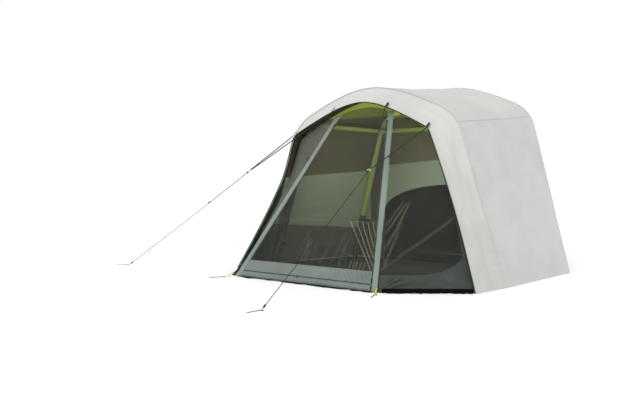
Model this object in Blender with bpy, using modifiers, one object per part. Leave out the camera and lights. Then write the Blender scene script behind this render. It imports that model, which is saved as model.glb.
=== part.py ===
"""Air-beam screen house: a one-room shelter with a three-sided insect-mesh bay at its front.

Metres, +Z up, +Y from the mesh front towards the rear wall, standing on z = 0.
Widths are half widths from the centre plane; depths are measured from the front sill.
"""
import math

import bmesh
import bpy
from mathutils import Matrix, Vector

# ---- driving dimensions -------------------------------------------------------------
ORIGIN_DEPTH = 1.34         # the origin lies this far behind the front sill
CLOTH = 0.004               # thickness of every fabric solid
SEAM_GAP = 0.005            # each panel stops this far short of its seam line
TOUCH = 0.0004              # gap between pieces that rest on each other
EDGE_ROUND = 0.0015         # rounded edges of moulded pieces
WEB_ROUND = 0.0008          # rounded edges of webbing and zip pulls

# Arches: depth at the ground, lean back per metre of height, foot half width, apex
# height, shoulder half width, crown slope far from the apex, crown softness, shoulder
# fillet, and how far the legs bow back at mid height.
HEM = dict(y=0.597, lean=0.205, foot=1.783, apex=2.020, shoulder=1.000,
           slope=0.55, soft=0.256, fillet=0.05, bow=0.055)
BAY = dict(y=0.625, lean=0.245, foot=1.745, apex=1.985, shoulder=0.968,
           slope=0.55, soft=0.256, fillet=0.05, bow=0.055)
FRONT_FLY = dict(y=1.200, lean=0.0, foot=1.790, apex=2.210, shoulder=1.187,
                 slope=0.55, soft=0.380, fillet=0.22, bow=0.0)
REAR_FLY = dict(y=2.960, lean=0.0, foot=1.690, apex=2.380, shoulder=1.160,
                slope=0.55, soft=0.380, fillet=0.22, bow=0.0)
LEG_BOW_HEIGHT = 1.66       # height over which the hem legs bow

BEAM_RADIUS = 0.046         # inflated arch beams
FRONT_BEAM = dict(depth=1.310, inset=0.085)   # centre line: depth, and distance inside the fly
REAR_BEAM = dict(depth=2.890, inset=0.066)
FOOT_DRAW = 1.05            # an arch drawn in by an inset moves its foot and its shoulder
SHOULDER_DRAW = 0.75        # by these shares of it, so that the gap to the fly stays even
GROUND_SLAB = (6.0, 6.0, 0.4)
SPACER_RADIUS = 0.027       # inflated spacer beams between the arches
SPACER_HALF = 0.965
SPACER_HEIGHT = 1.825
SPACER_CLEAR = 0.002        # gap from a spacer's end to its arch beam

FRONT_HALF = 1.034          # half width of the front at the ground
BAND_TOP_HALF = 0.434       # half width between the bands' outer edges at their tops
FRONT_TOP_DEPTH = 1.079     # depth and height of the bands' tops
FRONT_TOP_HEIGHT = 1.890
BAND_WIDTH = 0.073
BAND_LENGTH = 2.185
ZIP_GAP = 0.008             # width of a zip's row of teeth
SILL_LENGTH = 0.078         # sill strip, measured up the slope
GROUND_CLEAR = 0.008        # fabric edges stay this far up the slope from the ground
PANEL_TOP_HALF = 0.338
PANEL_TOP_CLEAR = 0.012     # the mesh front ends this far below the hood
SHOULDER_SHARE = 0.86       # share of a side panel's height that is beside the straight leg
CROWN_BEND = 0.8            # how quickly the rest turns in over the shoulder
SIDE_TOP_OUT = 0.01         # its top corner lies this far outside the band's
SIDE_TOP = 0.975            # the side meshes end here, just under the hood
SIDE_MARGIN = 0.012         # share of a side panel's width left free at each edge
SIDE_SPACING = 0.85         # below 1, columns crowd towards the hem

CORNER_LOW = 0.085          # solid corner of a side panel, at its band and at its hem
CORNER_HIGH = 0.235
CORNER_START = 0.42         # share of the width where the corner's curve begins

# Ground flap, from the wall to its free edge: distance out from the wall and height.
FLAP_PROFILE = ((0.010, 0.042), (0.016, 0.018), (0.035, 0.0045))
FLAP_TRIM = 0.045           # a flap ends this far from a pegged corner
FLAP_END = 0.010            # and this far from the hem's foot

FLOOR_LIFT = 0.0005          # underside of the floor cloth
# The right half of the floor cloth's outline: across and behind the origin, from the front.
FLOOR_OUTLINE = ((0.940, -1.300), (1.700, -0.700), (1.742, -0.095), (1.638, -0.095),
                 (1.638, 0.035), (1.748, 0.035), (1.670, 1.485), (1.560, 1.485),
                 (1.560, 1.605))

DOOR_HALF = 1.100           # rear door: half width, side height and crown height
DOOR_SIDE = 0.700
DOOR_CROWN = 1.060
DOOR_SILL = 0.020
DOOR_HINGE_HEIGHT = 0.5
WALL_INSET = 0.014          # rear wall stays this far inside the fly
WALL_SETBACK = 0.012        # and stands this far behind its arch
DOORWAY_CUT = 0.12          # depth of the doorway's cutter

TAB_LENGTH = 0.085
TAB_WIDTH = 0.026
WEB_THICKNESS = 0.003
TAB_CLEAR = 0.020           # a guy tab stands this far off the hood
TAB_OVERHANG = 0.030        # and reaches this far past the hem
TAB_FACE = (0.35, -0.55, 0.8)
LEG_CORD_RADIUS = 0.006
LINE_RADIUS = 0.0035
CORD_STEP = 0.03
MOST_CORD_POINTS = 40
LEG_SPREAD = math.radians(22)   # least half angle between the legs at their ring
RING_RADIUS = 0.016
RING_WIRE = 0.003
PEG_RADIUS = 0.0036
PEG_LENGTH = 0.17
PEG_HOOK = 0.013            # radius of a peg's hook
PEG_LIFT = 0.0002           # pegs and rings lie this far above the ground
LINE_FOOT = 0.012           # height at which a guy line meets its peg
TENSIONER = (0.034, 0.016, 0.011)
TENSIONER_BORE = 0.0006     # the line's hole is this much wider than the line

LOOP_WIDTH = 0.018          # webbing loop of a pegged front corner
LOOP_HEIGHT = 0.050
LOOP_OUT = 0.020
LOOP_FOOT = 0.006
LOOP_TO_RING = 0.003
RING_TO_PEG = 0.030

ZIP_TOP = 2.05              # place of a side zip's slider up the slope
SILL_ZIP_X = -0.067         # place of the sill zip's slider
SLIDER = (0.022, 0.013, 0.009)
SLIDER_OUT = 0.0065
PULL = (0.034, 0.008, 0.0025)
PULL_OUT = 0.0135
PULL_DROP = 0.019           # from a pull's hinge to its middle

TOGGLE_RADIUS = 0.0055
TOGGLE_LENGTH = 0.050
TOGGLE_BESIDE = 0.012       # from the band's edge to the toggle's middle
TOGGLE_OUT = 0.014
TOGGLE_SLOPES = {"upper": 1.570, "lower": 0.634}   # distances up the band's slope

VALVE_RADIUS = 0.024
VALVE_HEIGHT = 0.30
VALVE_DEPTH = 0.016
CAP_DEPTH = 0.007
CAP_INSET = 0.003           # the cap is this much smaller in radius than the valve
CAP_HINGE = 0.004           # its hinge lies this far outside the valve

# Guy lines: the tab heights follow the hem; ring and peg places, depth from the sill.
GUYS = {
    "right": dict(side=1, ring=(0.801, 0.165, 1.208), peg=(0.948, -1.455),
                  tensioner=0.40),
    "left": dict(side=-1, ring=(-1.528, 0.674, 1.243), peg=(-3.010, -0.108),
                 tensioner=0.68),
}
TAB_HALF = {"upper": 0.395, "shoulder": 0.984}
CORNER_PEGS = {"right": (1.105, -0.135), "left": (-1.075, -0.150)}

SMOOTH_ANGLE = math.radians(40)
CROWN_STEPS = 5
SHOULDER_STEPS = 3
LEG_STEPS = 4
ROOM_CENTRE = Vector((0.0, 1.7 - ORIGIN_DEPTH, 0.9))


# ---- scene and materials ------------------------------------------------------------
def clear_scene():
    for obj in list(bpy.data.objects):
        bpy.data.objects.remove(obj, do_unlink=True)


def new_collection(name):
    collection = bpy.data.collections.new(name)
    bpy.context.scene.collection.children.link(collection)
    return collection


def material(name, colour, roughness, metallic=0.0):
    mat = bpy.data.materials.new(name)
    mat.use_nodes = True
    shader = mat.node_tree.nodes["Principled BSDF"]
    shader.inputs["Base Color"].default_value = (*colour, 1.0)
    shader.inputs["Roughness"].default_value = roughness
    shader.inputs["Metallic"].default_value = metallic
    mat.diffuse_color = (*colour, 1.0)
    return mat


clear_scene()
PARTS = new_collection("screen_house")
CUTTERS = new_collection("cutters")

FLY_CLOTH = ("fly_cloth", (0.62, 0.62, 0.58), 0.75)
WALL_CLOTH = ("wall_cloth", (0.56, 0.57, 0.57), 0.75)
GREEN_CLOTH = ("grey_green_cloth", (0.22, 0.29, 0.27), 0.70)
MESH_CLOTH = ("insect_mesh", (0.06, 0.07, 0.06), 0.85)
DARK_CLOTH = ("dark_cloth", (0.02, 0.02, 0.015), 0.80)
BEAM_SKIN = ("beam_sleeve", (0.19, 0.26, 0.03), 0.60)
BLACK_WEB = ("black_webbing", (0.01, 0.01, 0.01), 0.80)
PALE_CORD = ("guy_cord", (0.20, 0.20, 0.19), 0.75)
LIME_WEB = ("lime_webbing", (0.42, 0.46, 0.05), 0.70)
BLACK_MOULD = ("black_moulding", (0.015, 0.015, 0.015), 0.45)
PEG_STEEL = ("peg_steel", (0.25, 0.25, 0.26), 0.40, 0.9)


# ---- shared geometry ----------------------------------------------------------------
def at(x, depth, z):
    """A point from its half width, its depth behind the sill and its height."""
    return Vector((x, depth - ORIGIN_DEPTH, z))


def crown_height(arch, x):
    """Hyperbolic crown: level at the apex, straight towards the shoulders."""
    return arch["apex"] + arch["soft"] - math.hypot(arch["soft"], arch["slope"] * x)


def half_profile(arch, detail=1):
    """Right half of an arch as (x, z): crown, rounded shoulder, straight leg."""
    corner = Vector((arch["shoulder"], crown_height(arch, arch["shoulder"])))
    foot = Vector((arch["foot"], 0.0))
    edge = arch["shoulder"] - arch["fillet"]
    start = Vector((edge, crown_height(arch, edge)))
    end = corner + (foot - corner).normalized() * arch["fillet"]
    crown_steps = CROWN_STEPS * detail
    shoulder_steps = SHOULDER_STEPS * detail
    points = []
    for step in range(crown_steps):
        x = edge * step / crown_steps
        points.append(Vector((x, crown_height(arch, x))))
    for step in range(shoulder_steps):
        t = step / shoulder_steps
        points.append(start * (1 - t) ** 2 + corner * 2 * t * (1 - t) + end * t ** 2)
    for step in range(LEG_STEPS + 1):
        points.append(end.lerp(foot, step / LEG_STEPS))
    return points


def place(arch, side, point):
    """A profile point in space, on the leaning and bowed plane of its arch."""
    x, z = point
    bow = arch["bow"] * math.sin(math.pi * min(z / LEG_BOW_HEIGHT, 1.0))
    return at(side * x, arch["y"] + arch["lean"] * z + bow, z)


def full_arch(arch, detail=1):
    """Left foot to right foot."""
    half = half_profile(arch, detail)
    left = [place(arch, -1, p) for p in reversed(half[1:])]
    right = [place(arch, 1, p) for p in half]
    return left + right


def inner_arch(arch, inset):
    """The same arch drawn in towards the room."""
    drawn = dict(arch)
    drawn["foot"] = arch["foot"] - inset * FOOT_DRAW
    drawn["apex"] = arch["apex"] - inset
    drawn["shoulder"] = arch["shoulder"] - inset * SHOULDER_DRAW
    return drawn


SLOPE = Vector((0.0, FRONT_TOP_DEPTH, FRONT_TOP_HEIGHT)).normalized()
FRONT_NORMAL = Vector((0.0, -SLOPE.z, SLOPE.y))      # out of the front, towards -Y
BAND_RUN = Vector((FRONT_TOP_DEPTH, FRONT_TOP_HEIGHT)).length


def on_front(x, up, out=0.0):
    """A point of the leaning front plane, given up its slope and out from it."""
    return at(x, 0.0, 0.0) + SLOPE * up + FRONT_NORMAL * out


def band_edge(up):
    """Half width of the bands' outer edges at a distance up the slope."""
    return FRONT_HALF - (FRONT_HALF - BAND_TOP_HALF) * up / BAND_RUN


# ---- object makers ------------------------------------------------------------------
MATERIALS = {}


def finish(obj, slot, origin=None):
    """Link an object, give it its material and put its origin where it turns."""
    if slot[0] not in MATERIALS:
        MATERIALS[slot[0]] = material(*slot)
    obj.data.materials.append(MATERIALS[slot[0]])
    if origin is not None:
        obj.data.transform(Matrix.Translation(-origin))
        obj.location = origin
    PARTS.objects.link(obj)
    return obj


def mesh_object(name, bm):
    mesh = bpy.data.meshes.new(name)
    bm.to_mesh(mesh)
    bm.free()
    return bpy.data.objects.new(name, mesh)


def inset(rows, gap):
    """The same grid with its outer rows and columns drawn in by a seam's gap."""
    def drawn(line):
        first = line[0] + (line[1] - line[0]).normalized() * gap
        last = line[-1] + (line[-2] - line[-1]).normalized() * gap
        return [first, *line[1:-1], last]

    rows = [drawn(list(row)) for row in rows]
    columns = [drawn(list(column)) for column in zip(*rows)]
    return [list(row) for row in zip(*columns)]


def cloth_panel(name, rows, slot, gap=SEAM_GAP, origin=None):
    """A fabric panel lofted through rows of points and thickened towards the room."""
    if gap:
        rows = inset(rows, gap)
    bm = bmesh.new()
    grid = [[bm.verts.new(point) for point in row] for row in rows]
    for near, far in zip(grid, grid[1:]):
        for k in range(len(near) - 1):
            bm.faces.new((near[k], near[k + 1], far[k + 1], far[k]))
    bm.normal_update()
    facing = sum(face.normal.dot(face.calc_center_median() - ROOM_CENTRE)
                 * face.calc_area() for face in bm.faces)
    if facing < 0:
        bmesh.ops.reverse_faces(bm, faces=bm.faces[:])
    obj = finish(mesh_object(name, bm), slot, origin)
    solid = obj.modifiers.new("Thickness", "SOLIDIFY")
    solid.thickness = CLOTH
    solid.offset = -1
    solid.use_even_offset = True
    obj.data.shade_smooth()
    obj.data.set_sharp_from_angle(angle=SMOOTH_ANGLE)
    return obj


def tube(name, points, radius, slot, resolution=2, cyclic=False):
    """A round cord, wire or beam along a chain of points."""
    data = bpy.data.curves.new(name, "CURVE")
    data.dimensions = "3D"
    data.bevel_depth = radius
    data.bevel_resolution = resolution
    data.use_fill_caps = not cyclic
    spline = data.splines.new("POLY")
    spline.points.add(len(points) - 1)
    for slot_point, point in zip(spline.points, points):
        slot_point.co = (*point, 1.0)
    spline.use_cyclic_u = cyclic
    return finish(bpy.data.objects.new(name, data), slot)


def tube_mesh(name, points, radius, slot, resolution=4):
    """The same tube as a closed mesh, so that it can be cut."""
    curve = tube(name + "_path", points, radius, slot, resolution)
    bpy.context.view_layer.update()
    graph = bpy.context.evaluated_depsgraph_get()
    mesh = bpy.data.meshes.new_from_object(curve.evaluated_get(graph))
    mesh.name = name
    matrix = curve.matrix_world.copy()
    bpy.data.objects.remove(curve, do_unlink=True)
    bm = bmesh.new()
    bm.from_mesh(mesh)
    bmesh.ops.remove_doubles(bm, verts=bm.verts[:], dist=0.00005)
    bm.to_mesh(mesh)
    bm.free()
    obj = bpy.data.objects.new(name, mesh)
    obj.matrix_world = matrix
    PARTS.objects.link(obj)
    obj.data.shade_smooth()
    obj.data.set_sharp_from_angle(angle=SMOOTH_ANGLE)
    return obj


def frame_matrix(origin, along, normal):
    """Axes with local X along a direction and local Z as near a normal as fits."""
    x = along.normalized()
    y = normal.cross(x).normalized()
    z = x.cross(y)
    return Matrix.Translation(origin) @ Matrix((x, y, z)).transposed().to_4x4()


def soften(obj, width):
    """Round the sharp edges only, not the facets of a rod's side."""
    edge = obj.modifiers.new("Edges", "BEVEL")
    edge.width = width
    edge.segments = 2
    edge.limit_method = "ANGLE"
    edge.angle_limit = math.radians(60)


def block(name, size, matrix, slot, bevel=0.0, origin=None):
    """A bevelled block; size along the matrix's own axes."""
    bm = bmesh.new()
    bmesh.ops.create_cube(bm, size=1.0)
    bmesh.ops.scale(bm, vec=size, verts=bm.verts[:])
    bmesh.ops.transform(bm, matrix=matrix, verts=bm.verts[:])
    obj = finish(mesh_object(name, bm), slot, origin)
    if bevel:
        soften(obj, bevel)
    return obj


def rod(name, radius, length, matrix, slot, sides=16, bevel=0.0, origin=None):
    """A short cylinder along the matrix's local Z."""
    bm = bmesh.new()
    bmesh.ops.create_cone(bm, cap_ends=True, segments=sides, radius1=radius,
                          radius2=radius, depth=length)
    bmesh.ops.transform(bm, matrix=matrix, verts=bm.verts[:])
    obj = finish(mesh_object(name, bm), slot, origin)
    obj.data.shade_smooth()
    obj.data.set_sharp_from_angle(angle=SMOOTH_ANGLE)
    if bevel:
        soften(obj, bevel)
    return obj


def cut(obj, cutter):
    """Take a cutter out of an object, with the exact solver."""
    cutter.hide_render = True
    cutter.display_type = "WIRE"
    if cutter.name in PARTS.objects:
        PARTS.objects.unlink(cutter)
        CUTTERS.objects.link(cutter)
    boolean = obj.modifiers.new("Cut_" + cutter.name, "BOOLEAN")
    boolean.operation = "DIFFERENCE"
    boolean.solver = "EXACT"
    boolean.object = cutter


# ---- inflated frame -----------------------------------------------------------------
def ground_cutter():
    matrix = Matrix.Translation(Vector((0.0, 0.0, -GROUND_SLAB[2] / 2)))
    return block("ground_cutter", GROUND_SLAB, matrix, BLACK_MOULD)


def arch_beam(name, arch, beam, ground):
    """An inflated arch inside the fly, cut level at the ground."""
    path = full_arch(inner_arch(dict(arch, y=beam["depth"]), beam["inset"]), detail=2)
    below = 0.06
    left = path[0] + (path[0] - path[1]).normalized() * below
    right = path[-1] + (path[-1] - path[-2]).normalized() * below
    obj = tube_mesh(name, [left, *path, right], BEAM_RADIUS, BEAM_SKIN)
    cut(obj, ground)
    return obj


def spacer_beam(name, side):
    """An inflated strut that holds the two arches apart at the shoulder."""
    start = at(side * SPACER_HALF, FRONT_BEAM["depth"] + BEAM_RADIUS + SPACER_CLEAR, SPACER_HEIGHT)
    end = at(side * SPACER_HALF, REAR_BEAM["depth"] - BEAM_RADIUS - SPACER_CLEAR, SPACER_HEIGHT)
    steps = 8
    points = [start.lerp(end, step / steps) for step in range(steps + 1)]
    return tube(name, points, SPACER_RADIUS, BEAM_SKIN)


def valve(prefix, side, arch, beam):
    """An inflation valve on a beam's leg, with a cap that flips up."""
    line = inner_arch(arch, beam["inset"])
    foot, end = half_profile(line)[-1], half_profile(line)[-2]
    up = Vector((side * (end.x - foot.x), 0.0, end.y - foot.y)).normalized()
    inward = Vector((-side * up.z, 0.0, side * up.x)).normalized()
    x = foot.x + (end.x - foot.x) * VALVE_HEIGHT / end.y
    centre = at(side * x, beam["depth"], VALVE_HEIGHT)
    base = centre + inward * (BEAM_RADIUS + TOUCH + VALVE_DEPTH / 2)
    rod(prefix + "_valve", VALVE_RADIUS, VALVE_DEPTH,
        frame_matrix(base, up, inward), BLACK_MOULD, sides=20, bevel=EDGE_ROUND)
    top = base + inward * (VALVE_DEPTH / 2 + TOUCH + CAP_DEPTH / 2)
    hinge = top + up * (VALVE_RADIUS + CAP_HINGE)
    rod(prefix + "_valve_cap", VALVE_RADIUS - CAP_INSET, CAP_DEPTH,
        frame_matrix(top, up, inward), BLACK_MOULD, sides=20, bevel=EDGE_ROUND,
        origin=hinge)


# ---- fly and walls ------------------------------------------------------------------
def loft_rows(front, rear, steps, first, last):
    """Rows between two arches, over the stretch of points from first to last."""
    rows = []
    for step in range(steps + 1):
        t = step / steps
        rows.append([a.lerp(b, t) for a, b in zip(front[first:last], rear[first:last])])
    return rows


def fly():
    hem = full_arch(HEM)
    front = full_arch(FRONT_FLY)
    rear = full_arch(REAR_FLY)
    count = len(hem)
    turn = LEG_STEPS + 1                 # points of one leg
    spans = {"left": (0, turn + 1), "crown": (turn, count - turn),
             "right": (count - turn - 1, count)}
    names = {"left": ("left_hood", "left_wall"), "crown": ("hood_crown", "roof"),
             "right": ("right_hood", "right_wall")}
    for key, (first, last) in spans.items():
        hood_name, wall_name = names[key]
        wall_slot = FLY_CLOTH if key == "crown" else WALL_CLOTH
        cloth_panel(hood_name, loft_rows(hem, front, 2, first, last), FLY_CLOTH)
        cloth_panel(wall_name, loft_rows(front, rear, 4, first, last), wall_slot)


def door_outline(margin):
    """Half a doorway from its bottom to the top of its arch, as (x, z) points."""
    width = DOOR_HALF - margin
    rise = DOOR_CROWN - DOOR_SIDE
    points = [Vector((width, DOOR_SILL + margin))]
    steps = 8
    for step in range(steps + 1):
        angle = 0.5 * math.pi * step / steps
        points.append(Vector((width * math.cos(angle),
                              DOOR_SIDE + (rise - margin) * math.sin(angle))))
    return points


def upright_plate(name, half_points, depth, slot, origin=None):
    """A symmetric flat plate standing across the room, from half its outline."""
    bm = bmesh.new()
    outline = [(p.x, p.y) for p in half_points]
    outline += [(-p.x, p.y) for p in reversed(half_points) if p.x > 1e-6]
    verts = [bm.verts.new(at(x, depth, z)) for x, z in outline]
    face = bm.faces.new(verts)
    bm.normal_update()
    if face.normal.y < 0:
        bmesh.ops.reverse_faces(bm, faces=bm.faces[:])
    obj = finish(mesh_object(name, bm), slot, origin)
    solid = obj.modifiers.new("Thickness", "SOLIDIFY")
    solid.thickness = CLOTH
    solid.offset = -1
    return obj


def rear_wall():
    """The wall inside the rear arch, with an arched doorway and its door."""
    wall = inner_arch(REAR_FLY, WALL_INSET)
    profile = list(reversed(half_profile(wall)))
    profile[0] = Vector((profile[0].x, 0.0))
    depth = REAR_FLY["y"] + WALL_SETBACK
    plate = upright_plate("rear_wall", profile, depth, GREEN_CLOTH)
    cutter = upright_plate("doorway_cutter", door_outline(0.0), depth + DOORWAY_CUT / 2, DARK_CLOTH)
    cutter.modifiers["Thickness"].thickness = DOORWAY_CUT
    cut(plate, cutter)
    hinge = at(-DOOR_HALF + ZIP_GAP, depth - CLOTH / 2, DOOR_HINGE_HEIGHT)
    upright_plate("rear_door", door_outline(ZIP_GAP), depth, DARK_CLOTH, origin=hinge)


# ---- mesh bay -----------------------------------------------------------------------
def front_panel():
    """The mesh front between the zips; it folds down about the sill zip."""
    low = SILL_LENGTH + ZIP_GAP
    columns = 9
    rows = []
    for step in range(5):
        t = step / 4
        row = []
        for k in range(columns):
            u = 2 * k / (columns - 1) - 1
            foot_x = u * (band_edge(low) - BAND_WIDTH - ZIP_GAP)
            top_x = u * PANEL_TOP_HALF
            top_up = (crown_height(BAY, top_x) - PANEL_TOP_CLEAR) / SLOPE.z
            x = foot_x + (top_x - foot_x) * t
            row.append(on_front(x, low + (top_up - low) * t))
        rows.append(row)
    hinge = on_front(0.0, SILL_LENGTH + ZIP_GAP / 2)
    return cloth_panel("front_mesh_panel", rows, MESH_CLOTH, gap=0.0, origin=hinge)


def sill():
    rows = []
    spans = 6
    for up in (GROUND_CLEAR, SILL_LENGTH):
        reach = band_edge(up) - BAND_WIDTH - SEAM_GAP
        rows.append([on_front(reach * (2 * k / spans - 1), up) for k in range(spans + 1)])
    return cloth_panel("front_sill", rows, GREEN_CLOTH, gap=0.0)


def band(name, side):
    rows = []
    for step in range(5):
        up = GROUND_CLEAR + (BAND_LENGTH - GROUND_CLEAR) * step / 4
        outer = band_edge(up) - TOUCH
        rows.append([on_front(side * outer, up), on_front(side * (outer - BAND_WIDTH), up)])
    return cloth_panel(name, rows, GREEN_CLOTH, gap=0.0)


def side_surface(side, u, v):
    """Side of the bay: u from the band to the hem, v from the ground to the shoulder."""
    near = on_front(side * band_edge(v * BAND_RUN), v * BAND_RUN)
    profile = half_profile(BAY)
    foot, shoulder = profile[-1], profile[-1 - LEG_STEPS]
    if v <= SHOULDER_SHARE:
        edge = foot.lerp(shoulder, v / SHOULDER_SHARE)
    else:
        t = (v - SHOULDER_SHARE) / (1 - SHOULDER_SHARE)
        top_x = BAND_TOP_HALF + SIDE_TOP_OUT
        rise = crown_height(BAY, top_x) - shoulder.y
        edge = shoulder + Vector(((top_x - shoulder.x) * t, rise * t ** CROWN_BEND))
    far = place(BAY, side, edge)
    return near.lerp(far, u)


def corner_line(u):
    """Top of the solid corner: level, then a quarter ellipse up to the hem."""
    if u <= CORNER_START:
        return CORNER_LOW
    t = (u - CORNER_START) / (1 - CORNER_START)
    return CORNER_LOW + (CORNER_HIGH - CORNER_LOW) * (1 - math.sqrt(1 - t * t))


def side_rows(side, low, high, steps, columns=9):
    """Grid of the side surface between two heights that depend on u."""
    rows = []
    for step in range(steps + 1):
        t = step / steps
        row = []
        for k in range(columns):
            share = k / (columns - 1)
            crowded = math.sin(0.5 * math.pi * share) ** SIDE_SPACING
            u = SIDE_MARGIN + (1 - 2 * SIDE_MARGIN) * crowded
            v = low(u) + (high(u) - low(u)) * t
            row.append(side_surface(side, u, v))
        rows.append(row)
    return rows


def side_panels(word, side):
    ground = GROUND_CLEAR / BAND_RUN
    mesh_rows = side_rows(side, corner_line, lambda u: SIDE_TOP, 8)
    cloth_panel(word + "_side_mesh", mesh_rows, MESH_CLOTH)
    corner_rows = side_rows(side, lambda u: ground, corner_line, 2)
    cloth_panel(word + "_corner_panel", corner_rows, GREEN_CLOTH)


def ground_flap(name, start, end):
    """A black flap that stands out from the wall's foot onto the ground."""
    along = (end - start).normalized()
    out = Vector((along.y, -along.x, 0.0))
    if out.dot(start - ROOM_CENTRE) < 0:
        out = -out
    rows = []
    spans = 6
    for reach, rise in FLAP_PROFILE:
        offset = out * reach + Vector((0.0, 0.0, rise))
        rows.append([start.lerp(end, k / spans) + offset for k in range(spans + 1)])
    return cloth_panel(name, rows, BLACK_WEB, gap=0.0)


def floor_cloth():
    """The sewn floor, notched round the feet of the arch beams."""
    half = [Vector((x, y, FLOOR_LIFT)) for x, y in FLOOR_OUTLINE]
    other = [Vector((-point.x, point.y, point.z)) for point in reversed(half)]
    bm = bmesh.new()
    face = bm.faces.new([bm.verts.new(point) for point in half + other])
    bm.normal_update()
    if face.normal.z > 0:
        bmesh.ops.reverse_faces(bm, faces=[face])
    obj = finish(mesh_object("floor_cloth", bm), DARK_CLOTH)
    solid = obj.modifiers.new("Thickness", "SOLIDIFY")
    solid.thickness = CLOTH
    solid.offset = -1


def ground_flaps():
    reach = FRONT_HALF - FLAP_TRIM
    ground_flap("front_ground_flap", at(-reach, 0.0, 0.0), at(reach, 0.0, 0.0))
    for word, side in (("left", -1), ("right", 1)):
        start = at(side * FRONT_HALF, 0.0, 0.0)
        end = at(side * BAY["foot"], BAY["y"], 0.0)
        run = (end - start).normalized()
        ground_flap(word + "_ground_flap", start + run * FLAP_TRIM, end - run * FLAP_END)


# ---- zips and toggles ---------------------------------------------------------------
def zip_slider(name, x, up, along):
    """A zip slider that straddles its teeth from the outside."""
    origin = on_front(x, up, SLIDER_OUT)
    matrix = frame_matrix(origin, along, FRONT_NORMAL)
    return block(name, SLIDER, matrix, BLACK_MOULD, bevel=EDGE_ROUND, origin=origin)


def zip_pull(name, x, up, hang):
    """A flat pull tab in front of its slider, hinged at its upper end."""
    hinge = on_front(x, up, PULL_OUT)
    middle = hinge + hang.normalized() * PULL_DROP
    matrix = frame_matrix(middle, hang, FRONT_NORMAL)
    return block(name, PULL, matrix, BLACK_MOULD, bevel=WEB_ROUND, origin=hinge)


def zips():
    """One slider on each side zip, at the top of its run, and one on the sill zip."""
    for word, side in (("left", -1), ("right", 1)):
        x = side * (band_edge(ZIP_TOP) - BAND_WIDTH - ZIP_GAP / 2)
        along = zip_direction(side)
        zip_slider(word + "_zip_slider", x, ZIP_TOP, along)
        zip_pull(word + "_zip_pull", x, ZIP_TOP, -along)
    up = SILL_LENGTH + ZIP_GAP / 2
    zip_slider("sill_zip_slider", SILL_ZIP_X, up, Vector((1.0, 0.0, 0.0)))
    zip_pull("sill_zip_pull", SILL_ZIP_X, up, -SLOPE)


def zip_direction(side):
    """Unit direction of a side zip, upwards along the band's inner edge."""
    top = on_front(side * BAND_TOP_HALF, BAND_RUN)
    return (top - on_front(side * FRONT_HALF, 0.0)).normalized()


def toggles():
    """Toggles that hold a rolled side panel, in loops on the bands' outer edges."""
    for word, side in (("left", -1), ("right", 1)):
        for height, up in TOGGLE_SLOPES.items():
            centre = on_front(side * (band_edge(up) + TOGGLE_BESIDE), up, TOGGLE_OUT)
            matrix = frame_matrix(centre, FRONT_NORMAL, zip_direction(side))
            rod(word + "_" + height + "_toggle", TOGGLE_RADIUS, TOGGLE_LENGTH, matrix,
                BLACK_MOULD, sides=12, bevel=EDGE_ROUND, origin=centre)


# ---- guy lines and pegs -------------------------------------------------------------
def tab_frame(side, half):
    """Where a guy tab leaves the hood: its hem point and the hood's run behind it."""
    z = crown_height(HEM, half)
    hem = place(HEM, side, Vector((half, z)))
    back = place(FRONT_FLY, side, Vector((half, crown_height(FRONT_FLY, half))))
    return hem, (back - hem).normalized()


def guy_tab(name, side, half):
    """A webbing tab sewn on the hood, reaching just past the hem."""
    hem, rise = tab_frame(side, half)
    outward = Vector((side * TAB_FACE[0], TAB_FACE[1], TAB_FACE[2]))
    outward = (outward - rise * outward.dot(rise)).normalized()
    centre = hem + rise * (TAB_LENGTH / 2 - TAB_OVERHANG) + outward * TAB_CLEAR
    matrix = frame_matrix(centre, rise, outward)
    block(name, (TAB_LENGTH, TAB_WIDTH, WEB_THICKNESS), matrix, BLACK_WEB, bevel=WEB_ROUND)
    return centre - rise * (TAB_LENGTH / 2 + LEG_CORD_RADIUS)


def straight(start, end):
    """Points of a taut cord, about CORD_STEP apart."""
    count = max(2, min(MOST_CORD_POINTS, int((end - start).length / CORD_STEP)))
    return [start.lerp(end, k / count) for k in range(count + 1)]


def torus(name, centre, normal, slot):
    bm = bmesh.new()
    rings, sides = 16, 8
    grid = []
    for i in range(rings):
        a = 2 * math.pi * i / rings
        spoke = Vector((math.cos(a), math.sin(a), 0.0))
        grid.append([bm.verts.new(spoke * (RING_RADIUS + RING_WIRE * math.cos(b))
                                  + Vector((0.0, 0.0, RING_WIRE * math.sin(b))))
                     for b in (2 * math.pi * j / sides for j in range(sides))])
    for i in range(rings):
        near, far = grid[i], grid[(i + 1) % rings]
        for j in range(sides):
            k = (j + 1) % sides
            bm.faces.new((near[j], far[j], far[k], near[k]))
    matrix = frame_matrix(centre, normal.orthogonal(), normal)
    bmesh.ops.transform(bm, matrix=matrix, verts=bm.verts[:])
    obj = finish(mesh_object(name, bm), slot)
    obj.data.shade_smooth()
    return obj


def peg(name, head, direction):
    """A hooked wire peg lying on the ground, its shaft along a direction."""
    flat = Vector((direction.x, direction.y, 0.0)).normalized()
    across = Vector((-flat.y, flat.x, 0.0))
    base = Vector((head.x, head.y, PEG_RADIUS + PEG_LIFT))
    tip = 1.4                            # the hook's free end, in hook radii
    steps = 6
    points = [base + across * 2 * PEG_HOOK + flat * PEG_HOOK * tip]
    for step in range(steps + 1):
        angle = math.pi * step / steps
        points.append(base + across * PEG_HOOK * (1 + math.cos(angle))
                      - flat * PEG_HOOK * math.sin(angle))
    for step in range(1, steps + 1):
        points.append(base + flat * PEG_LENGTH * step / steps)
    return tube(name, points, PEG_RADIUS, PEG_STEEL)


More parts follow.
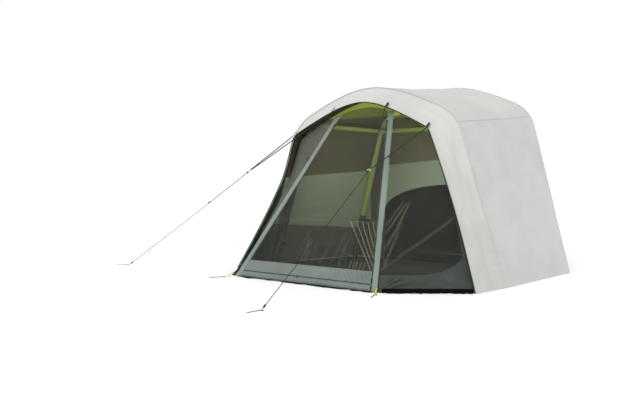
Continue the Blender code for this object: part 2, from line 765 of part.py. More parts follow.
def tensioner(name, start, direction, travel):
    """A moulded line runner: a block with a round hole that the line passes through."""
    centre = start + direction * travel
    matrix = frame_matrix(centre, direction, Vector((0.0, 0.0, 1.0)))
    obj = block(name, TENSIONER, matrix, BLACK_MOULD, origin=centre)
    bm = bmesh.new()
    radius = LINE_RADIUS + TENSIONER_BORE
    bmesh.ops.create_cone(bm, cap_ends=True, segments=16, radius1=radius, radius2=radius,
                          depth=TENSIONER[0] * 2)
    turn = direction.to_track_quat("Z", "X").to_matrix().to_4x4()
    bmesh.ops.transform(bm, matrix=Matrix.Translation(centre) @ turn, verts=bm.verts[:])
    bore = mesh_object(name + "_bore", bm)
    CUTTERS.objects.link(bore)
    cut(obj, bore)


def guy(word, spec):
    """A Y-shaped guy: two legs from the hood to a ring, one line down to a peg."""
    ring = at(*spec["ring"])
    foot = at(spec["peg"][0], spec["peg"][1], LINE_FOOT)
    line_dir = (foot - ring).normalized()
    tabs = {height: guy_tab(word + "_" + height + "_tab", spec["side"], half)
            for height, half in TAB_HALF.items()}
    spread = (tabs["upper"] - ring).cross(tabs["shoulder"] - ring)
    torus(word + "_guy_ring", ring, spread, LIME_WEB)
    clear = RING_RADIUS + RING_WIRE + TOUCH
    ways = {height: (tab - ring).normalized() for height, tab in tabs.items()}
    middle = (ways["upper"] + ways["shoulder"]).normalized()
    apart = (ways["upper"] - ways["shoulder"]).normalized()
    turn = max(LEG_SPREAD, 0.5 * ways["upper"].angle(ways["shoulder"]))
    for height, tab in tabs.items():
        towards = 1 if height == "upper" else -1
        reach = middle * math.cos(turn) + apart * towards * math.sin(turn)
        end = ring + reach * (clear + LEG_CORD_RADIUS / 2)
        tube(word + "_guy_" + height + "_leg", straight(tab, end),
             LEG_CORD_RADIUS, BLACK_WEB)
    start = ring + line_dir * (clear + TOUCH)
    flat = Vector((line_dir.x, line_dir.y, 0.0)).normalized()
    tube(word + "_guy_line", straight(start, foot), LINE_RADIUS, PALE_CORD)
    tensioner(word + "_tensioner", ring, line_dir, spec["tensioner"])
    peg(word + "_guy_peg", foot + flat * PEG_HOOK * 2, flat)


def corner_peg(word, side):
    """The pegging loop of a front corner, its ring and the peg that holds it."""
    corner = at(side * FRONT_HALF, 0.0, 0.0)
    spot = CORNER_PEGS[word]
    head = at(spot[0], spot[1], 0.0)
    flat = (head - corner).normalized()
    ring_centre = head - flat * RING_TO_PEG + Vector((0.0, 0.0, RING_WIRE + PEG_LIFT))
    torus(word + "_corner_ring", ring_centre, Vector((0.0, 0.0, 1.0)), LIME_WEB)
    start = corner + flat * LOOP_OUT + Vector((0.0, 0.0, LOOP_HEIGHT))
    end = ring_centre - flat * (RING_RADIUS + RING_WIRE + LOOP_TO_RING)
    end.z = LOOP_FOOT
    length = (end - start).length
    matrix = frame_matrix((start + end) / 2, end - start, Vector((0.0, 0.0, 1.0)))
    block(word + "_corner_loop", (length, LOOP_WIDTH, WEB_THICKNESS), matrix, LIME_WEB,
          bevel=WEB_ROUND)
    peg(word + "_corner_peg", head + flat * PEG_RADIUS, flat)


def main():
    ground = ground_cutter()
    arch_beam("front_air_beam", FRONT_FLY, FRONT_BEAM, ground)
    arch_beam("rear_air_beam", REAR_FLY, REAR_BEAM, ground)
    for word, side in (("left", -1), ("right", 1)):
        spacer_beam(word + "_spacer_beam", side)
        band(word + "_band", side)
        side_panels(word, side)
        corner_peg(word, side)
    valve("front_beam", -1, FRONT_FLY, FRONT_BEAM)
    valve("rear_beam", -1, REAR_FLY, REAR_BEAM)
    fly()
    rear_wall()
    front_panel()
    sill()
    floor_cloth()
    ground_flaps()
    zips()
    toggles()
    for word, spec in GUYS.items():
        guy(word, spec)


main()
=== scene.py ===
import math

import bpy
import numpy as np
from mathutils import Matrix, Vector


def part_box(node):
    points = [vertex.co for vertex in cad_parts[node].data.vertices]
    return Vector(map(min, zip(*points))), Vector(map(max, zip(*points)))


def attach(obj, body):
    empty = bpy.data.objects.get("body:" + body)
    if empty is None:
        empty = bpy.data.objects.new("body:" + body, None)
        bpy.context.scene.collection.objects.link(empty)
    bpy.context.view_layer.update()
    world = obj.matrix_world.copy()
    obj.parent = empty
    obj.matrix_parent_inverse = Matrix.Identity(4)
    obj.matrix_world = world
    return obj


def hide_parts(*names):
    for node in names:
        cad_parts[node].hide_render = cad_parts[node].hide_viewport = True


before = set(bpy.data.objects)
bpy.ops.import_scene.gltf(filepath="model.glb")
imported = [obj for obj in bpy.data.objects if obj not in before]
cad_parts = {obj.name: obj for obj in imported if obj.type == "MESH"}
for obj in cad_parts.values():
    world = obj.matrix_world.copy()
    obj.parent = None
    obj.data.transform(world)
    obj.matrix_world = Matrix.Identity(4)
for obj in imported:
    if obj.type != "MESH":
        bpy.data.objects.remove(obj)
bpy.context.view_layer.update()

# Air-beam screen house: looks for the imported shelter. Metres, +Z up, mesh front towards -Y.

roomCentre = np.array([0.0, 0.36, 0.9])
clothThickness = 0.0014

# An arch: its place along Y at the ground, lean per metre of height, foot half width, apex,
# shoulder half width, crown slope and softness, shoulder fillet, backward bow of its legs.
hemArch = {"y": -0.743, "lean": 0.205, "foot": 1.783, "apex": 2.020, "shoulder": 1.000,
           "slope": 0.55, "soft": 0.256, "fillet": 0.05, "bow": 0.055, "drawn": 0.120}
bayArch = {"y": -0.715, "lean": 0.245, "foot": 1.745, "apex": 1.985, "shoulder": 0.968,
           "slope": 0.55, "soft": 0.256, "fillet": 0.05, "bow": 0.055, "drawn": 0.120}
frontArch = {"y": -0.140, "lean": 0.0, "foot": 1.790, "apex": 2.210, "shoulder": 1.187,
             "slope": 0.55, "soft": 0.380, "fillet": 0.22, "bow": 0.0}
rearArch = {"y": 1.620, "lean": 0.0, "foot": 1.690, "apex": 2.380, "shoulder": 1.160,
            "slope": 0.55, "soft": 0.380, "fillet": 0.22, "bow": 0.0}
bowHeight = 1.66
drawnFrom, drawnTo = 1.80, 1.05     # heights between which a left leg is drawn in, as pitched
wallSeam = 5 / 3          # the walls are sewn to the roof at this station of an arch


# Small tools.
def toLinear(hexCode):  # sRGB hex to linear colour
    value = np.array([int(hexCode[i:i + 2], 16) for i in (1, 3, 5)]) / 255
    linear = np.where(value <= 0.04045, value / 12.92, ((value + 0.055) / 1.055) ** 2.4)
    return (*linear.tolist(), 1.0)


def addNode(tree, kind, settings=None, links=None):  # a node with its values and its inputs
    node = tree.nodes.new(kind)
    for key, value in (settings or {}).items():
        if key in node.inputs:
            node.inputs[key].default_value = value
        else:
            setattr(node, key, value)
    for key, source in (links or {}).items():
        tree.links.new(source, node.inputs[key])
    return node


def newMaterial(name, **values):  # a material whose constants sit on the shader's own sockets
    made = bpy.data.materials.new(name)
    made.use_nodes = True
    shader = made.node_tree.nodes["Principled BSDF"]
    for key, value in values.items():
        shader.inputs[key.replace("_", " ")].default_value = value
    return made, made.node_tree, shader


def bumpInto(tree, shader, height, distance, strength=1.0, normal=None):
    links = {"Height": height}
    if normal is not None:
        links["Normal"] = normal
    bump = addNode(tree, "ShaderNodeBump", {"Distance": distance, "Strength": strength}, links)
    tree.links.new(bump.outputs["Normal"], shader.inputs["Normal"])
    return bump.outputs["Normal"]


def math2(tree, operation, first, second=0.0):  # a value or an output each
    node = addNode(tree, "ShaderNodeMath", {"operation": operation})
    for socket, value in zip(node.inputs, (first, second)):
        if isinstance(value, (int, float)):
            socket.default_value = value
        else:
            tree.links.new(value, socket)
    return node.outputs[0]


def unit(vectors):
    return vectors / (np.linalg.norm(vectors, axis=-1, keepdims=True) + 1e-12)


def smoothNoise(shape, cells, seed):  # random values on a coarse grid, eased between its points
    values = np.random.default_rng(seed).uniform(-1, 1, (cells[0] + 2, cells[1] + 2))
    rows = np.linspace(0, cells[0], shape[0])
    cols = np.linspace(0, cells[1], shape[1])
    i, j = rows.astype(int), cols.astype(int)
    a, b = (rows - i)[:, None], (cols - j)[None, :]
    a, b = a * a * (3 - 2 * a), b * b * (3 - 2 * b)
    low = values[np.ix_(i, j)] * (1 - b) + values[np.ix_(i, j + 1)] * b
    high = values[np.ix_(i + 1, j)] * (1 - b) + values[np.ix_(i + 1, j + 1)] * b
    return low * (1 - a) + high * a


def smoothStep(value, low, high):
    t = np.clip((value - low) / (high - low), 0, 1)
    return t * t * (3 - 2 * t)


def surfaceNormals(points, centre=roomCentre):  # unit normals of a grid, away from a centre
    normal = unit(np.cross(np.gradient(points, axis=1), np.gradient(points, axis=0)))
    return -normal if np.sum(normal * (points - centre)) < 0 else normal


def puff(points, amount, centre=roomCentre):  # each point moved along its normal
    return points + surfaceNormals(points, centre) * np.asarray(amount)[..., None]


def fill(mesh, vertices, quads, extra=(), uv=None, values=None, smoothAngle=50):
    mesh.from_pydata(vertices.tolist(), [], quads.tolist() + [list(face) for face in extra])
    if uv is not None:
        corner = np.zeros(len(mesh.loops), dtype=np.int32)
        mesh.loops.foreach_get("vertex_index", corner)
        layer = mesh.uv_layers.new(name="cloth")
        layer.data.foreach_set("uv", uv[corner].astype(np.float32).ravel())
    for name, value in (values or {}).items():
        attribute = mesh.attributes.new(name, "FLOAT", "POINT")
        attribute.data.foreach_set("value", value.astype(np.float32).ravel())
    mesh.shade_smooth()
    mesh.set_sharp_from_angle(angle=math.radians(smoothAngle))
    mesh.update()


def addObject(name, mesh, materials):
    obj = bpy.data.objects.new(name, mesh)
    bpy.context.scene.collection.objects.link(obj)
    for item in materials:
        mesh.materials.append(item)
    return obj


def shell(name, outer, outside, inside=None, thickness=clothThickness, centre=roomCentre,
          values=None):
    # A closed sheet: the given grid, the same grid set back along its normals, and a rim.
    rows, cols = outer.shape[:2]
    count = rows * cols
    turned = np.sum(np.cross(np.gradient(outer, axis=1), np.gradient(outer, axis=0))
                    * (outer - centre)) < 0
    inner = outer - surfaceNormals(outer, centre) * thickness
    index = np.arange(count).reshape(rows, cols)
    front = np.stack([index[:-1, :-1], index[:-1, 1:], index[1:, 1:], index[1:, :-1]], -1)
    front = front.reshape(-1, 4)
    rim = np.concatenate([index[0, :-1], index[:-1, -1], index[-1, :0:-1], index[:0:-1, 0]])
    after = np.roll(rim, -1)
    edge = np.stack([after, rim, rim + count, after + count], -1)
    quads = np.concatenate([front, front[:, ::-1] + count, edge])
    if turned:
        quads = quads[:, ::-1]
    along = np.concatenate([np.zeros((rows, 1)),
                            np.cumsum(np.linalg.norm(np.diff(outer, axis=1), axis=-1), 1)], 1)
    up = np.concatenate([np.zeros((1, cols)),
                         np.cumsum(np.linalg.norm(np.diff(outer, axis=0), axis=-1), 0)], 0)
    uv = np.stack([along, up], -1).reshape(-1, 2)
    mesh = bpy.data.meshes.new(name)
    doubled = {key: np.concatenate([value.ravel()] * 2) for key, value in (values or {}).items()}
    fill(mesh, np.concatenate([outer.reshape(-1, 3), inner.reshape(-1, 3)]), quads,
         uv=np.concatenate([uv, uv]), values=doubled)
    obj = addObject(name, mesh, [outside] if inside is None else [outside, inside])
    if inside is not None:
        which = np.zeros(len(quads), dtype=np.int32)
        which[len(front):2 * len(front)] = 1
        mesh.polygons.foreach_set("material_index", which)
    return obj


def sweep(name, path, radius, materials, sides=16, reference=(0, 1, 0), wave=None):
    # A round profile carried along a path; wave gives each point's share of the radius.
    path = np.asarray(path, float)
    along = unit(np.gradient(path, axis=0))
    across = unit(np.cross(np.array(reference, float), along))
    over = np.cross(along, across)
    angle = np.linspace(0, 2 * math.pi, sides, endpoint=False)
    spokes = (across[:, None] * np.cos(angle)[None, :, None]
              + over[:, None] * np.sin(angle)[None, :, None])
    size = np.broadcast_to(np.asarray(radius, float), (len(path),))[:, None]
    distance = np.concatenate([[0], np.cumsum(np.linalg.norm(np.diff(path, axis=0), axis=1))])
    if wave is not None:
        size = size * wave(distance[:, None], angle[None, :])
    vertices = path[:, None] + spokes * (size * np.ones((1, sides)))[..., None]
    index = np.arange(len(path) * sides).reshape(len(path), sides)
    ring = np.roll(index, -1, axis=1)
    quads = np.stack([index[:-1], ring[:-1], ring[1:], index[1:]], -1).reshape(-1, 4)
    caps = [index[0, ::-1].tolist(), index[-1].tolist()]
    uv = np.stack([np.broadcast_to(angle / (2 * math.pi) * 2 * math.pi * np.mean(radius),
                                   index.shape),
                   np.broadcast_to(distance[:, None], index.shape)], -1).reshape(-1, 2)
    mesh = bpy.data.meshes.new(name)
    fill(mesh, vertices.reshape(-1, 3), quads, caps, uv=uv)
    return addObject(name, mesh, materials)


def spindles(name, centres, along, over, size, material):
    # Many small stitches or teeth: each a six-sided spindle of three rings.
    centres, along, over = (np.asarray(a, float) for a in (centres, along, over))
    along = unit(along)
    across = unit(np.cross(over, along))
    over = np.cross(along, across)
    length, width, height = size
    angle = np.linspace(0, 2 * math.pi, 6, endpoint=False)
    stations = ((-0.5, 0.45), (0.0, 1.0), (0.5, 0.45))
    rings = [centres[:, None] + along[:, None] * length * place
             + across[:, None] * (np.cos(angle) * width / 2 * share)[None, :, None]
             + over[:, None] * (np.sin(angle) * height / 2 * share)[None, :, None]
             for place, share in stations]
    vertices = np.stack(rings, 1).reshape(-1, 3)
    index = np.arange(18).reshape(3, 6)
    ring = np.roll(index, -1, axis=1)
    quads = np.stack([index[:-1], ring[:-1], ring[1:], index[1:]], -1).reshape(-1, 4)
    offsets = np.arange(len(centres)) * 18
    allQuads = (quads[None] + offsets[:, None, None]).reshape(-1, 4)
    ends = [face for o in offsets for face in ((index[0, ::-1] + o), (index[2] + o))]
    mesh = bpy.data.meshes.new(name)
    fill(mesh, vertices, allQuads, [face.tolist() for face in ends], smoothAngle=70)
    return addObject(name, mesh, [material])


def evenly(path, pitch):  # points at an even pitch along a chain, with their directions
    path = np.asarray(path, float)
    steps = np.linalg.norm(np.diff(path, axis=0), axis=1)
    distance = np.concatenate([[0], np.cumsum(steps)])
    places = np.arange(pitch / 2, distance[-1], pitch)
    points = np.stack([np.interp(places, distance, path[:, k]) for k in range(3)], -1)
    ahead = np.stack([np.interp(places + pitch / 4, distance, path[:, k]) for k in range(3)], -1)
    behind = np.stack([np.interp(places - pitch / 4, distance, path[:, k]) for k in range(3)], -1)
    return points, unit(ahead - behind)


def besides(path, out, pitch):  # points at a pitch, their directions, and their way out
    points, along = evenly(path, pitch)
    lifted, _ = evenly(path + out * 0.1, pitch)
    count = min(len(points), len(lifted))
    return points[:count], along[:count], lifted[:count] - points[:count]


def finishPiece(obj, body, slot, *nodes):
    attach(obj, body)
    if nodes:
        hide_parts(*nodes)
    return obj


# Shapes shared by the pieces.
def crownHeight(arch, x):  # hyperbola: level at the apex, straight towards the shoulders
    return arch["apex"] + arch["soft"] - np.hypot(arch["soft"], arch["slope"] * x)


def leftDraw(arch, x, z):  # how far the arch's left leg is pulled towards the room
    fall = smoothStep(drawnFrom - z, 0.0, drawnFrom - drawnTo)
    return arch.get("drawn", 0.0) * fall * (x < 0)


def drawnIn(arch, inset):  # the same arch, nearer to the room
    return {**arch, "foot": arch["foot"] - inset * 1.05, "apex": arch["apex"] - inset,
            "shoulder": arch["shoulder"] - inset * 0.75}


def archPoint(arch, station):
    # Stations run from -3, the left foot, to 3: crown to 1, shoulder to 2, leg to 3.
    size = np.abs(station)
    edge = arch["shoulder"] - arch["fillet"]
    corner = np.array([arch["shoulder"], crownHeight(arch, arch["shoulder"])])
    foot = np.array([arch["foot"], 0.0])
    start = np.array([edge, crownHeight(arch, edge)])
    end = corner + unit(foot - corner) * arch["fillet"]
    crownX = edge * np.minimum(size, 1)
    crown = np.stack([crownX, crownHeight(arch, crownX)], -1)
    t = np.clip(size - 1, 0, 1)[..., None]
    shoulder = start * (1 - t) ** 2 + corner * 2 * t * (1 - t) + end * t ** 2
    leg = end + (foot - end) * np.clip(size - 2, 0, 1)[..., None]
    flat = np.where(size[..., None] <= 1, crown, np.where(size[..., None] <= 2, shoulder, leg))
    x, z = flat[..., 0] * np.sign(station + 1e-12), flat[..., 1]
    bow = arch["bow"] * np.sin(math.pi * np.minimum(z / bowHeight, 1))
    return np.stack([x + leftDraw(arch, x, z), arch["y"] + arch["lean"] * z + bow, z], -1)


def stations(low, high, step=0.012):  # about even spacing along an arch, in metres
    lengths = {0: 1.0, 1: 0.22, 2: 1.65}    # crown, shoulder and leg
    marks = [low]
    for start in range(-3, 3):
        a, b = max(low, start), min(high, start + 1)
        if b > a:
            part = lengths[start if start >= 0 else -1 - start]
            count = max(2, int(part * (b - a) / step))
            marks += np.linspace(a, b, count + 1)[1:].tolist()
    return np.array(marks)


frontPlane = {"y": -1.340, "half": 1.034, "topHalf": 0.434, "run": 2.1763, "bandWidth": 0.073,
              "sill": 0.078, "zipGap": 0.008, "meshFrom": 0.215, "panelTopHalf": 0.338,
              "clear": 0.008, "bandLength": 2.185}
slope = unit(np.array([0.0, 1.079, 1.890]))
frontNormal = np.array([0.0, -slope[2], slope[1]])


def frontPoint(x, up, out=0.0):  # a point of the leaning front: across, up its slope, out from it
    x, up, out = np.broadcast_arrays(*(np.asarray(v, float) for v in (x, up, out)))
    base = np.stack([x, np.full_like(x, frontPlane["y"]), np.zeros_like(x)], -1)
    return base + slope * up[..., None] + frontNormal * out[..., None]


def bandEdge(up):  # half width of the bands' outer edges
    spread = frontPlane["half"] - frontPlane["topHalf"]
    return frontPlane["half"] - spread * np.asarray(up, float) / frontPlane["run"]


sideForm = {"share": 0.86, "bend": 0.8, "topOut": 0.010, "top": 0.975, "margin": 0.012,
            "wide": 0.95, "low": 0.085, "high": 0.235, "start": 0.42, "sag": 0.012, "edge": 0.046,
            "slim": 0.009}


def sideSurface(side, u, v):
    # Ruled from the band's outer edge, u = 0, to the hem's arch, u = 1; v is the height's share.
    u, v = np.broadcast_arrays(u, v)
    near = frontPoint(side * bandEdge(v * frontPlane["run"]), v * frontPlane["run"])
    foot = np.array([bayArch["foot"], 0.0])
    end = archPoint(bayArch, np.array([2.0]))[0][[0, 2]]
    leg = foot + (end - foot) * np.minimum(v / sideForm["share"], 1)[..., None]
    t = np.clip((v - sideForm["share"]) / (1 - sideForm["share"]), 0, 1)
    topX = frontPlane["topHalf"] + sideForm["topOut"]
    rise = crownHeight(bayArch, topX) - end[1]
    turn = end + np.stack([(topX - end[0]) * t, rise * t ** sideForm["bend"]], -1)
    flat = np.where((v > sideForm["share"])[..., None], turn, leg)
    bow = bayArch["bow"] * np.sin(math.pi * np.minimum(flat[..., 1] / bowHeight, 1))
    farX = side * flat[..., 0]
    farX = farX + leftDraw(bayArch, farX, flat[..., 1])
    far = np.stack([farX, bayArch["y"] + bayArch["lean"] * flat[..., 1] + bow,
                    flat[..., 1]], -1)
    return near + (far - near) * u[..., None]


print("shapes ready")

# Camera.
eye = {"place": (5.510, -7.135, 1.029), "heading": 42.05, "tilt": -0.0165, "roll": 0.0018,
       "lens": 42.13}
camera = bpy.data.objects.new("camera", bpy.data.cameras.new("camera"))
bpy.context.scene.collection.objects.link(camera)
camera.data.lens = eye["lens"]
camera.data.sensor_width = 36.0
camera.data.clip_end = 200.0
camera.location = eye["place"]
camera.rotation_euler = (Matrix.Rotation(math.radians(eye["heading"]), 3, "Z")
                         @ Matrix.Rotation(math.pi / 2 + eye["tilt"], 3, "X")
                         @ Matrix.Rotation(eye["roll"], 3, "Z")).to_euler()
bpy.context.scene.camera = camera


# Materials.
def clothDetail(tree, shader, thread, depth, noiseScale=2.2, noiseDepth=0.004):
    # Crossed threads on the cloth's own metres, over broad soft unevenness.
    uvNode = addNode(tree, "ShaderNodeUVMap", {"uv_map": "cloth"})
    split = addNode(tree, "ShaderNodeSeparateXYZ", links={"Vector": uvNode.outputs["UV"]})
    turn = 2 * math.pi / thread
    waves = [math2(tree, "SINE", math2(tree, "MULTIPLY", split.outputs[axis], turn), 0.0)
             for axis in ("X", "Y")]
    weave = math2(tree, "MULTIPLY", waves[0], waves[1])
    place = addNode(tree, "ShaderNodeTexCoord").outputs["Object"]
    broad = addNode(tree, "ShaderNodeTexNoise", {"Scale": noiseScale, "Detail": 3.0},
                    {"Vector": place})
    first = bumpInto(tree, shader, broad.outputs["Fac"], noiseDepth, 0.6)
    bumpInto(tree, shader, weave, depth, 0.5, first)
    return place, broad.outputs["Fac"]


def blend(tree, factor, *tones):  # two tones mixed by a pattern; each a hex code or an output
    mix = addNode(tree, "ShaderNodeMix", {"data_type": "RGBA"})
    tree.links.new(factor, mix.inputs[0])
    for socket, tone in zip(mix.inputs[6:8], tones):
        if isinstance(tone, str):
            socket.default_value = toLinear(tone)
        else:
            tree.links.new(tone, socket)
    return mix.outputs[2]


def tinted(tree, shader, low, high, factor):
    colour = blend(tree, factor, low, high)
    tree.links.new(colour, shader.inputs["Base Color"])
    return colour


def wovenCloth(name, low, high, roughness=0.72, sheen=0.15, thread=0.006, specular=0.4):
    made, tree, shader = newMaterial(name, Roughness=roughness, Sheen_Weight=sheen,
                                     Sheen_Roughness=0.5, Specular_IOR_Level=specular)
    noise = clothDetail(tree, shader, thread, 0.0004)[1]
    ramp = addNode(tree, "ShaderNodeMapRange", {"From Min": 0.35, "From Max": 0.65},
                   {"Value": noise})
    tinted(tree, shader, low, high, ramp.outputs["Result"])
    return made


# 75D polyester with a matte waterproof coating. Real threads are 0.3 mm; drawn 6 mm to show.
flyCloth = wovenCloth("coatedPolyesterFly", "#b1b1ad", "#b8b8b5")
wallCloth = wovenCloth("coatedPolyesterWall", "#b3b4b4", "#babbbb")
greenCloth = wovenCloth("greyGreenPolyester", "#637069", "#717e77", roughness=0.55)
# Painted shade: the same grey-green polyester drawn much darker for the mesh bay's lower side
# corners, which lie in shade.
shadedCornerCloth = wovenCloth("greyGreenPolyesterShaded", "#222722", "#2c322c", roughness=0.6)
skirtCloth = wovenCloth("greyGreenPolyesterSkirt", "#57635c", "#636f68", roughness=0.55)
doorCloth = wovenCloth("blackoutPolyester", "#0d0e0a", "#171812", roughness=0.85, sheen=0.0)
floorCloth = wovenCloth("polyethyleneFloorCloth", "#30362c", "#3c4237", roughness=0.7, sheen=0.0)
edgeCloth = wovenCloth("darkBindingCloth", "#252b23", "#333a30", roughness=0.8, sheen=0.05)
seamCloth = wovenCloth("feltedSeamTape", "#b6b6b1", "#bcbcb9", thread=0.004)
groundCloth = wovenCloth("blackPolyethyleneFlap", "#020202", "#070706", roughness=0.9, sheen=0.0,
                         specular=0.1)


def zonedLining(name, base, layers, crownHalf=0.0, strip=None, crownColour=None):
    # Dyed polyester lining sewn from strips; the hood's strips are darker copies carrying painted
    # shade, and the walls' green and pale strips are lighter copies carrying painted light.
    # Each layer covers everything above its line, given by its height at the origin and its rise
    # per metre of X and of Y.
    made, tree, shader = newMaterial(name, Roughness=0.78, Sheen_Weight=0.1)
    place, noise = clothDetail(tree, shader, 0.006, 0.0003)
    split = addNode(tree, "ShaderNodeSeparateXYZ", links={"Vector": place})
    tone = addNode(tree, "ShaderNodeMapRange", {"To Min": 0.90, "To Max": 1.04},
                   {"Value": noise}).outputs["Result"]
    colour = addNode(tree, "ShaderNodeMix", {"data_type": "RGBA", "blend_type": "MULTIPLY",
                                             "Factor": 1.0})
    colour.inputs[6].default_value = toLinear(base)
    tree.links.new(tone, colour.inputs[7])
    colour = colour.outputs[2]
    for height, riseX, riseY, code in layers:
        line = math2(tree, "SUBTRACT", split.outputs["Z"],
                     math2(tree, "MULTIPLY", split.outputs["X"], riseX))
        line = math2(tree, "SUBTRACT", line, math2(tree, "MULTIPLY", split.outputs["Y"], riseY))
        edge = addNode(tree, "ShaderNodeMapRange", {"From Min": height - 0.004,
                                                    "From Max": height + 0.004}, {"Value": line})
        colour = blend(tree, edge.outputs["Result"], colour, code)
    if strip:
        low, high, top, code = strip
        inside = math2(tree, "MULTIPLY", math2(tree, "GREATER_THAN", split.outputs["X"], low),
                       math2(tree, "LESS_THAN", split.outputs["X"], high))
        inside = math2(tree, "MULTIPLY", inside,
                       math2(tree, "LESS_THAN", split.outputs["Z"], top))
        colour = blend(tree, inside, colour, code)
    if crownHalf:
        inside = math2(tree, "LESS_THAN",
                       math2(tree, "ABSOLUTE", split.outputs["X"], 0.0), crownHalf)
        colour = blend(tree, inside, colour, crownColour)
    tree.links.new(colour, shader.inputs["Base Color"])
    return made


limeLining = "#9db13c"
brownLining, greenLining, darkLining = "#6c6849", "#9ba98c", "#4c5347"
sunnyGreen, paleDark = "#b3c2a0", "#6b7561"      # the left wall catches more light
crownLining = zonedLining("crownLining", brownLining, [], crownHalf=1.02,
                          crownColour=limeLining)
# Painted shade: the hood's underside lining is drawn in darker copies of the lining colours, a dark
# brown above 1.2 m and a dark lime at the crown, for the shade under the hood.
hoodLining = zonedLining("hoodLining", darkLining, [(1.20, 0.0, 0.0, "#45412e")],
                         crownHalf=0.40, crownColour="#66742a")
wallLining = zonedLining("wallLining", paleDark, [(0.536, 0.0, -0.062, sunnyGreen),
                                                   (1.173, 0.0, 0.069, brownLining)])
rearLining = zonedLining("rearLining", darkLining, [(0.560, 0.0, 0.0, greenLining),
                                                   (1.428, 0.066, 0.0, brownLining),
                                                   (2.030, 0.0, 0.0, limeLining)],
                         strip=(-1.38, -1.125, 1.76, "#535447"))


def netting(name, low, high, creaseHighlightColour, alpha, hole=0.010, fan=None, folds=()):
    # Knitted polyester no-see-um net. Real holes are about 1 mm; drawn 10 mm so they can show.
    made, tree, shader = newMaterial(name, Roughness=0.85)
    uvNode = addNode(tree, "ShaderNodeUVMap", {"uv_map": "cloth"})
    split = addNode(tree, "ShaderNodeSeparateXYZ", links={"Vector": uvNode.outputs["UV"]})
    turn = math.pi / hole
    bars = [math2(tree, "POWER", math2(tree, "ABSOLUTE", math2(tree, "SINE", math2(
        tree, "MULTIPLY", split.outputs[axis], turn), 0.0), 0.0), 2.0) for axis in ("X", "Y")]
    knit = math2(tree, "SUBTRACT", 1.0, math2(tree, "MULTIPLY", bars[0], bars[1]))
    place = addNode(tree, "ShaderNodeTexCoord").outputs["Object"]
    noise = addNode(tree, "ShaderNodeTexNoise", {"Scale": 1.6, "Detail": 4.0},
                    {"Vector": place}).outputs["Fac"]
    crease = addNode(tree, "ShaderNodeAttribute", {"attribute_name": "crease"}).outputs["Fac"]
    if fan:
        crease = math2(tree, "MAXIMUM", crease, foldLines(tree, place, fan))
    for fold in folds:
        crease = math2(tree, "MAXIMUM", crease, straightFold(tree, place, *fold))
    # Painted highlight: creases and folds are drawn towards a much lighter colour, as where light
    # catches them, and the fan's seam line takes the same colour; they also cover more, where the
    # net lies doubled.
    tinted(tree, shader, blend(tree, noise, low, high), creaseHighlightColour, crease)
    cover = addNode(tree, "ShaderNodeMapRange", {"To Min": alpha - 0.10, "To Max": alpha + 0.10},
                    {"Value": knit})
    cover = math2(tree, "ADD", cover.outputs["Result"], math2(tree, "MULTIPLY", crease, 0.25))
    tree.links.new(cover, shader.inputs["Alpha"])
    bumpInto(tree, shader, knit, 0.0005, 0.5)
    return made


def straightFold(tree, place, start, end, across, width, strength):
    # One taut fold, mirrored to both sides: distance from its line, within the panel. It is drawn
    # only as a painted highlight on the net's colour.
    start, end, across = Vector(start), Vector(end), Vector(across)
    split = addNode(tree, "ShaderNodeSeparateXYZ", links={"Vector": place})
    folded = addNode(tree, "ShaderNodeCombineXYZ",
                     links={"X": math2(tree, "ABSOLUTE", split.outputs["X"], 0.0),
                            "Y": split.outputs["Y"], "Z": split.outputs["Z"]})
    offset = addNode(tree, "ShaderNodeVectorMath", {"operation": "SUBTRACT"})
    tree.links.new(folded.outputs["Vector"], offset.inputs[0])
    offset.inputs[1].default_value = start
    parts = []
    for direction in (across, (end - start).normalized()):
        node = addNode(tree, "ShaderNodeVectorMath", {"operation": "DOT_PRODUCT"})
        tree.links.new(offset.outputs["Vector"], node.inputs[0])
        node.inputs[1].default_value = direction
        parts.append(node.outputs["Value"])
    away = math2(tree, "ABSOLUTE", parts[0], 0.0)
    line = addNode(tree, "ShaderNodeMapRange", {"From Min": width, "From Max": 0.0,
                                                "To Max": strength},
                   {"Value": away}).outputs["Result"]
    inside = math2(tree, "MULTIPLY", math2(tree, "GREATER_THAN", parts[1], 0.0),
                   math2(tree, "LESS_THAN", parts[1], (end - start).length))
    return math2(tree, "MULTIPLY", line, inside)


def foldLines(tree, place, fan):
    # Straight folds that meet at the panel's lower corner: lines at even angles about it,
    # with the seam that they start from. Each line's strength falls off beside it; it sets the
    # painted highlight on the folds.
    split = addNode(tree, "ShaderNodeSeparateXYZ", links={"Vector": place})
    up = math2(tree, "DIVIDE", split.outputs["Z"], fan["slopeZ"])
    left = math2(tree, "SUBTRACT", fan["corner"][0], split.outputs["X"])
    rise = math2(tree, "SUBTRACT", up, fan["corner"][1])
    angle = math2(tree, "ARCTAN2", left, rise)
    reach = math2(tree, "SQRT", math2(tree, "ADD", math2(tree, "MULTIPLY", left, left),
                                      math2(tree, "MULTIPLY", rise, rise)), 0.0)
    place = math2(tree, "DIVIDE", math2(tree, "SUBTRACT", angle, fan["from"]), fan["step"])
    away = math2(tree, "MULTIPLY", math2(tree, "PINGPONG", place, 0.5), reach)
    away = math2(tree, "MULTIPLY", away, fan["step"])
    line = addNode(tree, "ShaderNodeMapRange", {"From Min": fan["width"], "From Max": 0.0},
                   {"Value": away}).outputs["Result"]
    for mask in (math2(tree, "GREATER_THAN", place, -0.5),
                 math2(tree, "LESS_THAN", place, fan["count"] - 0.5),
                 math2(tree, "LESS_THAN", up, fan["top"])):
        line = math2(tree, "MULTIPLY", line, mask)
    seamAway = math2(tree, "ABSOLUTE", math2(tree, "SUBTRACT", up, fan["top"]), 0.0)
    seam = addNode(tree, "ShaderNodeMapRange", {"From Min": fan["seamWidth"], "From Max": 0.0,
                                                "To Max": 0.45}, {"Value": seamAway})
    return math2(tree, "MAXIMUM", line, seam.outputs["Result"])


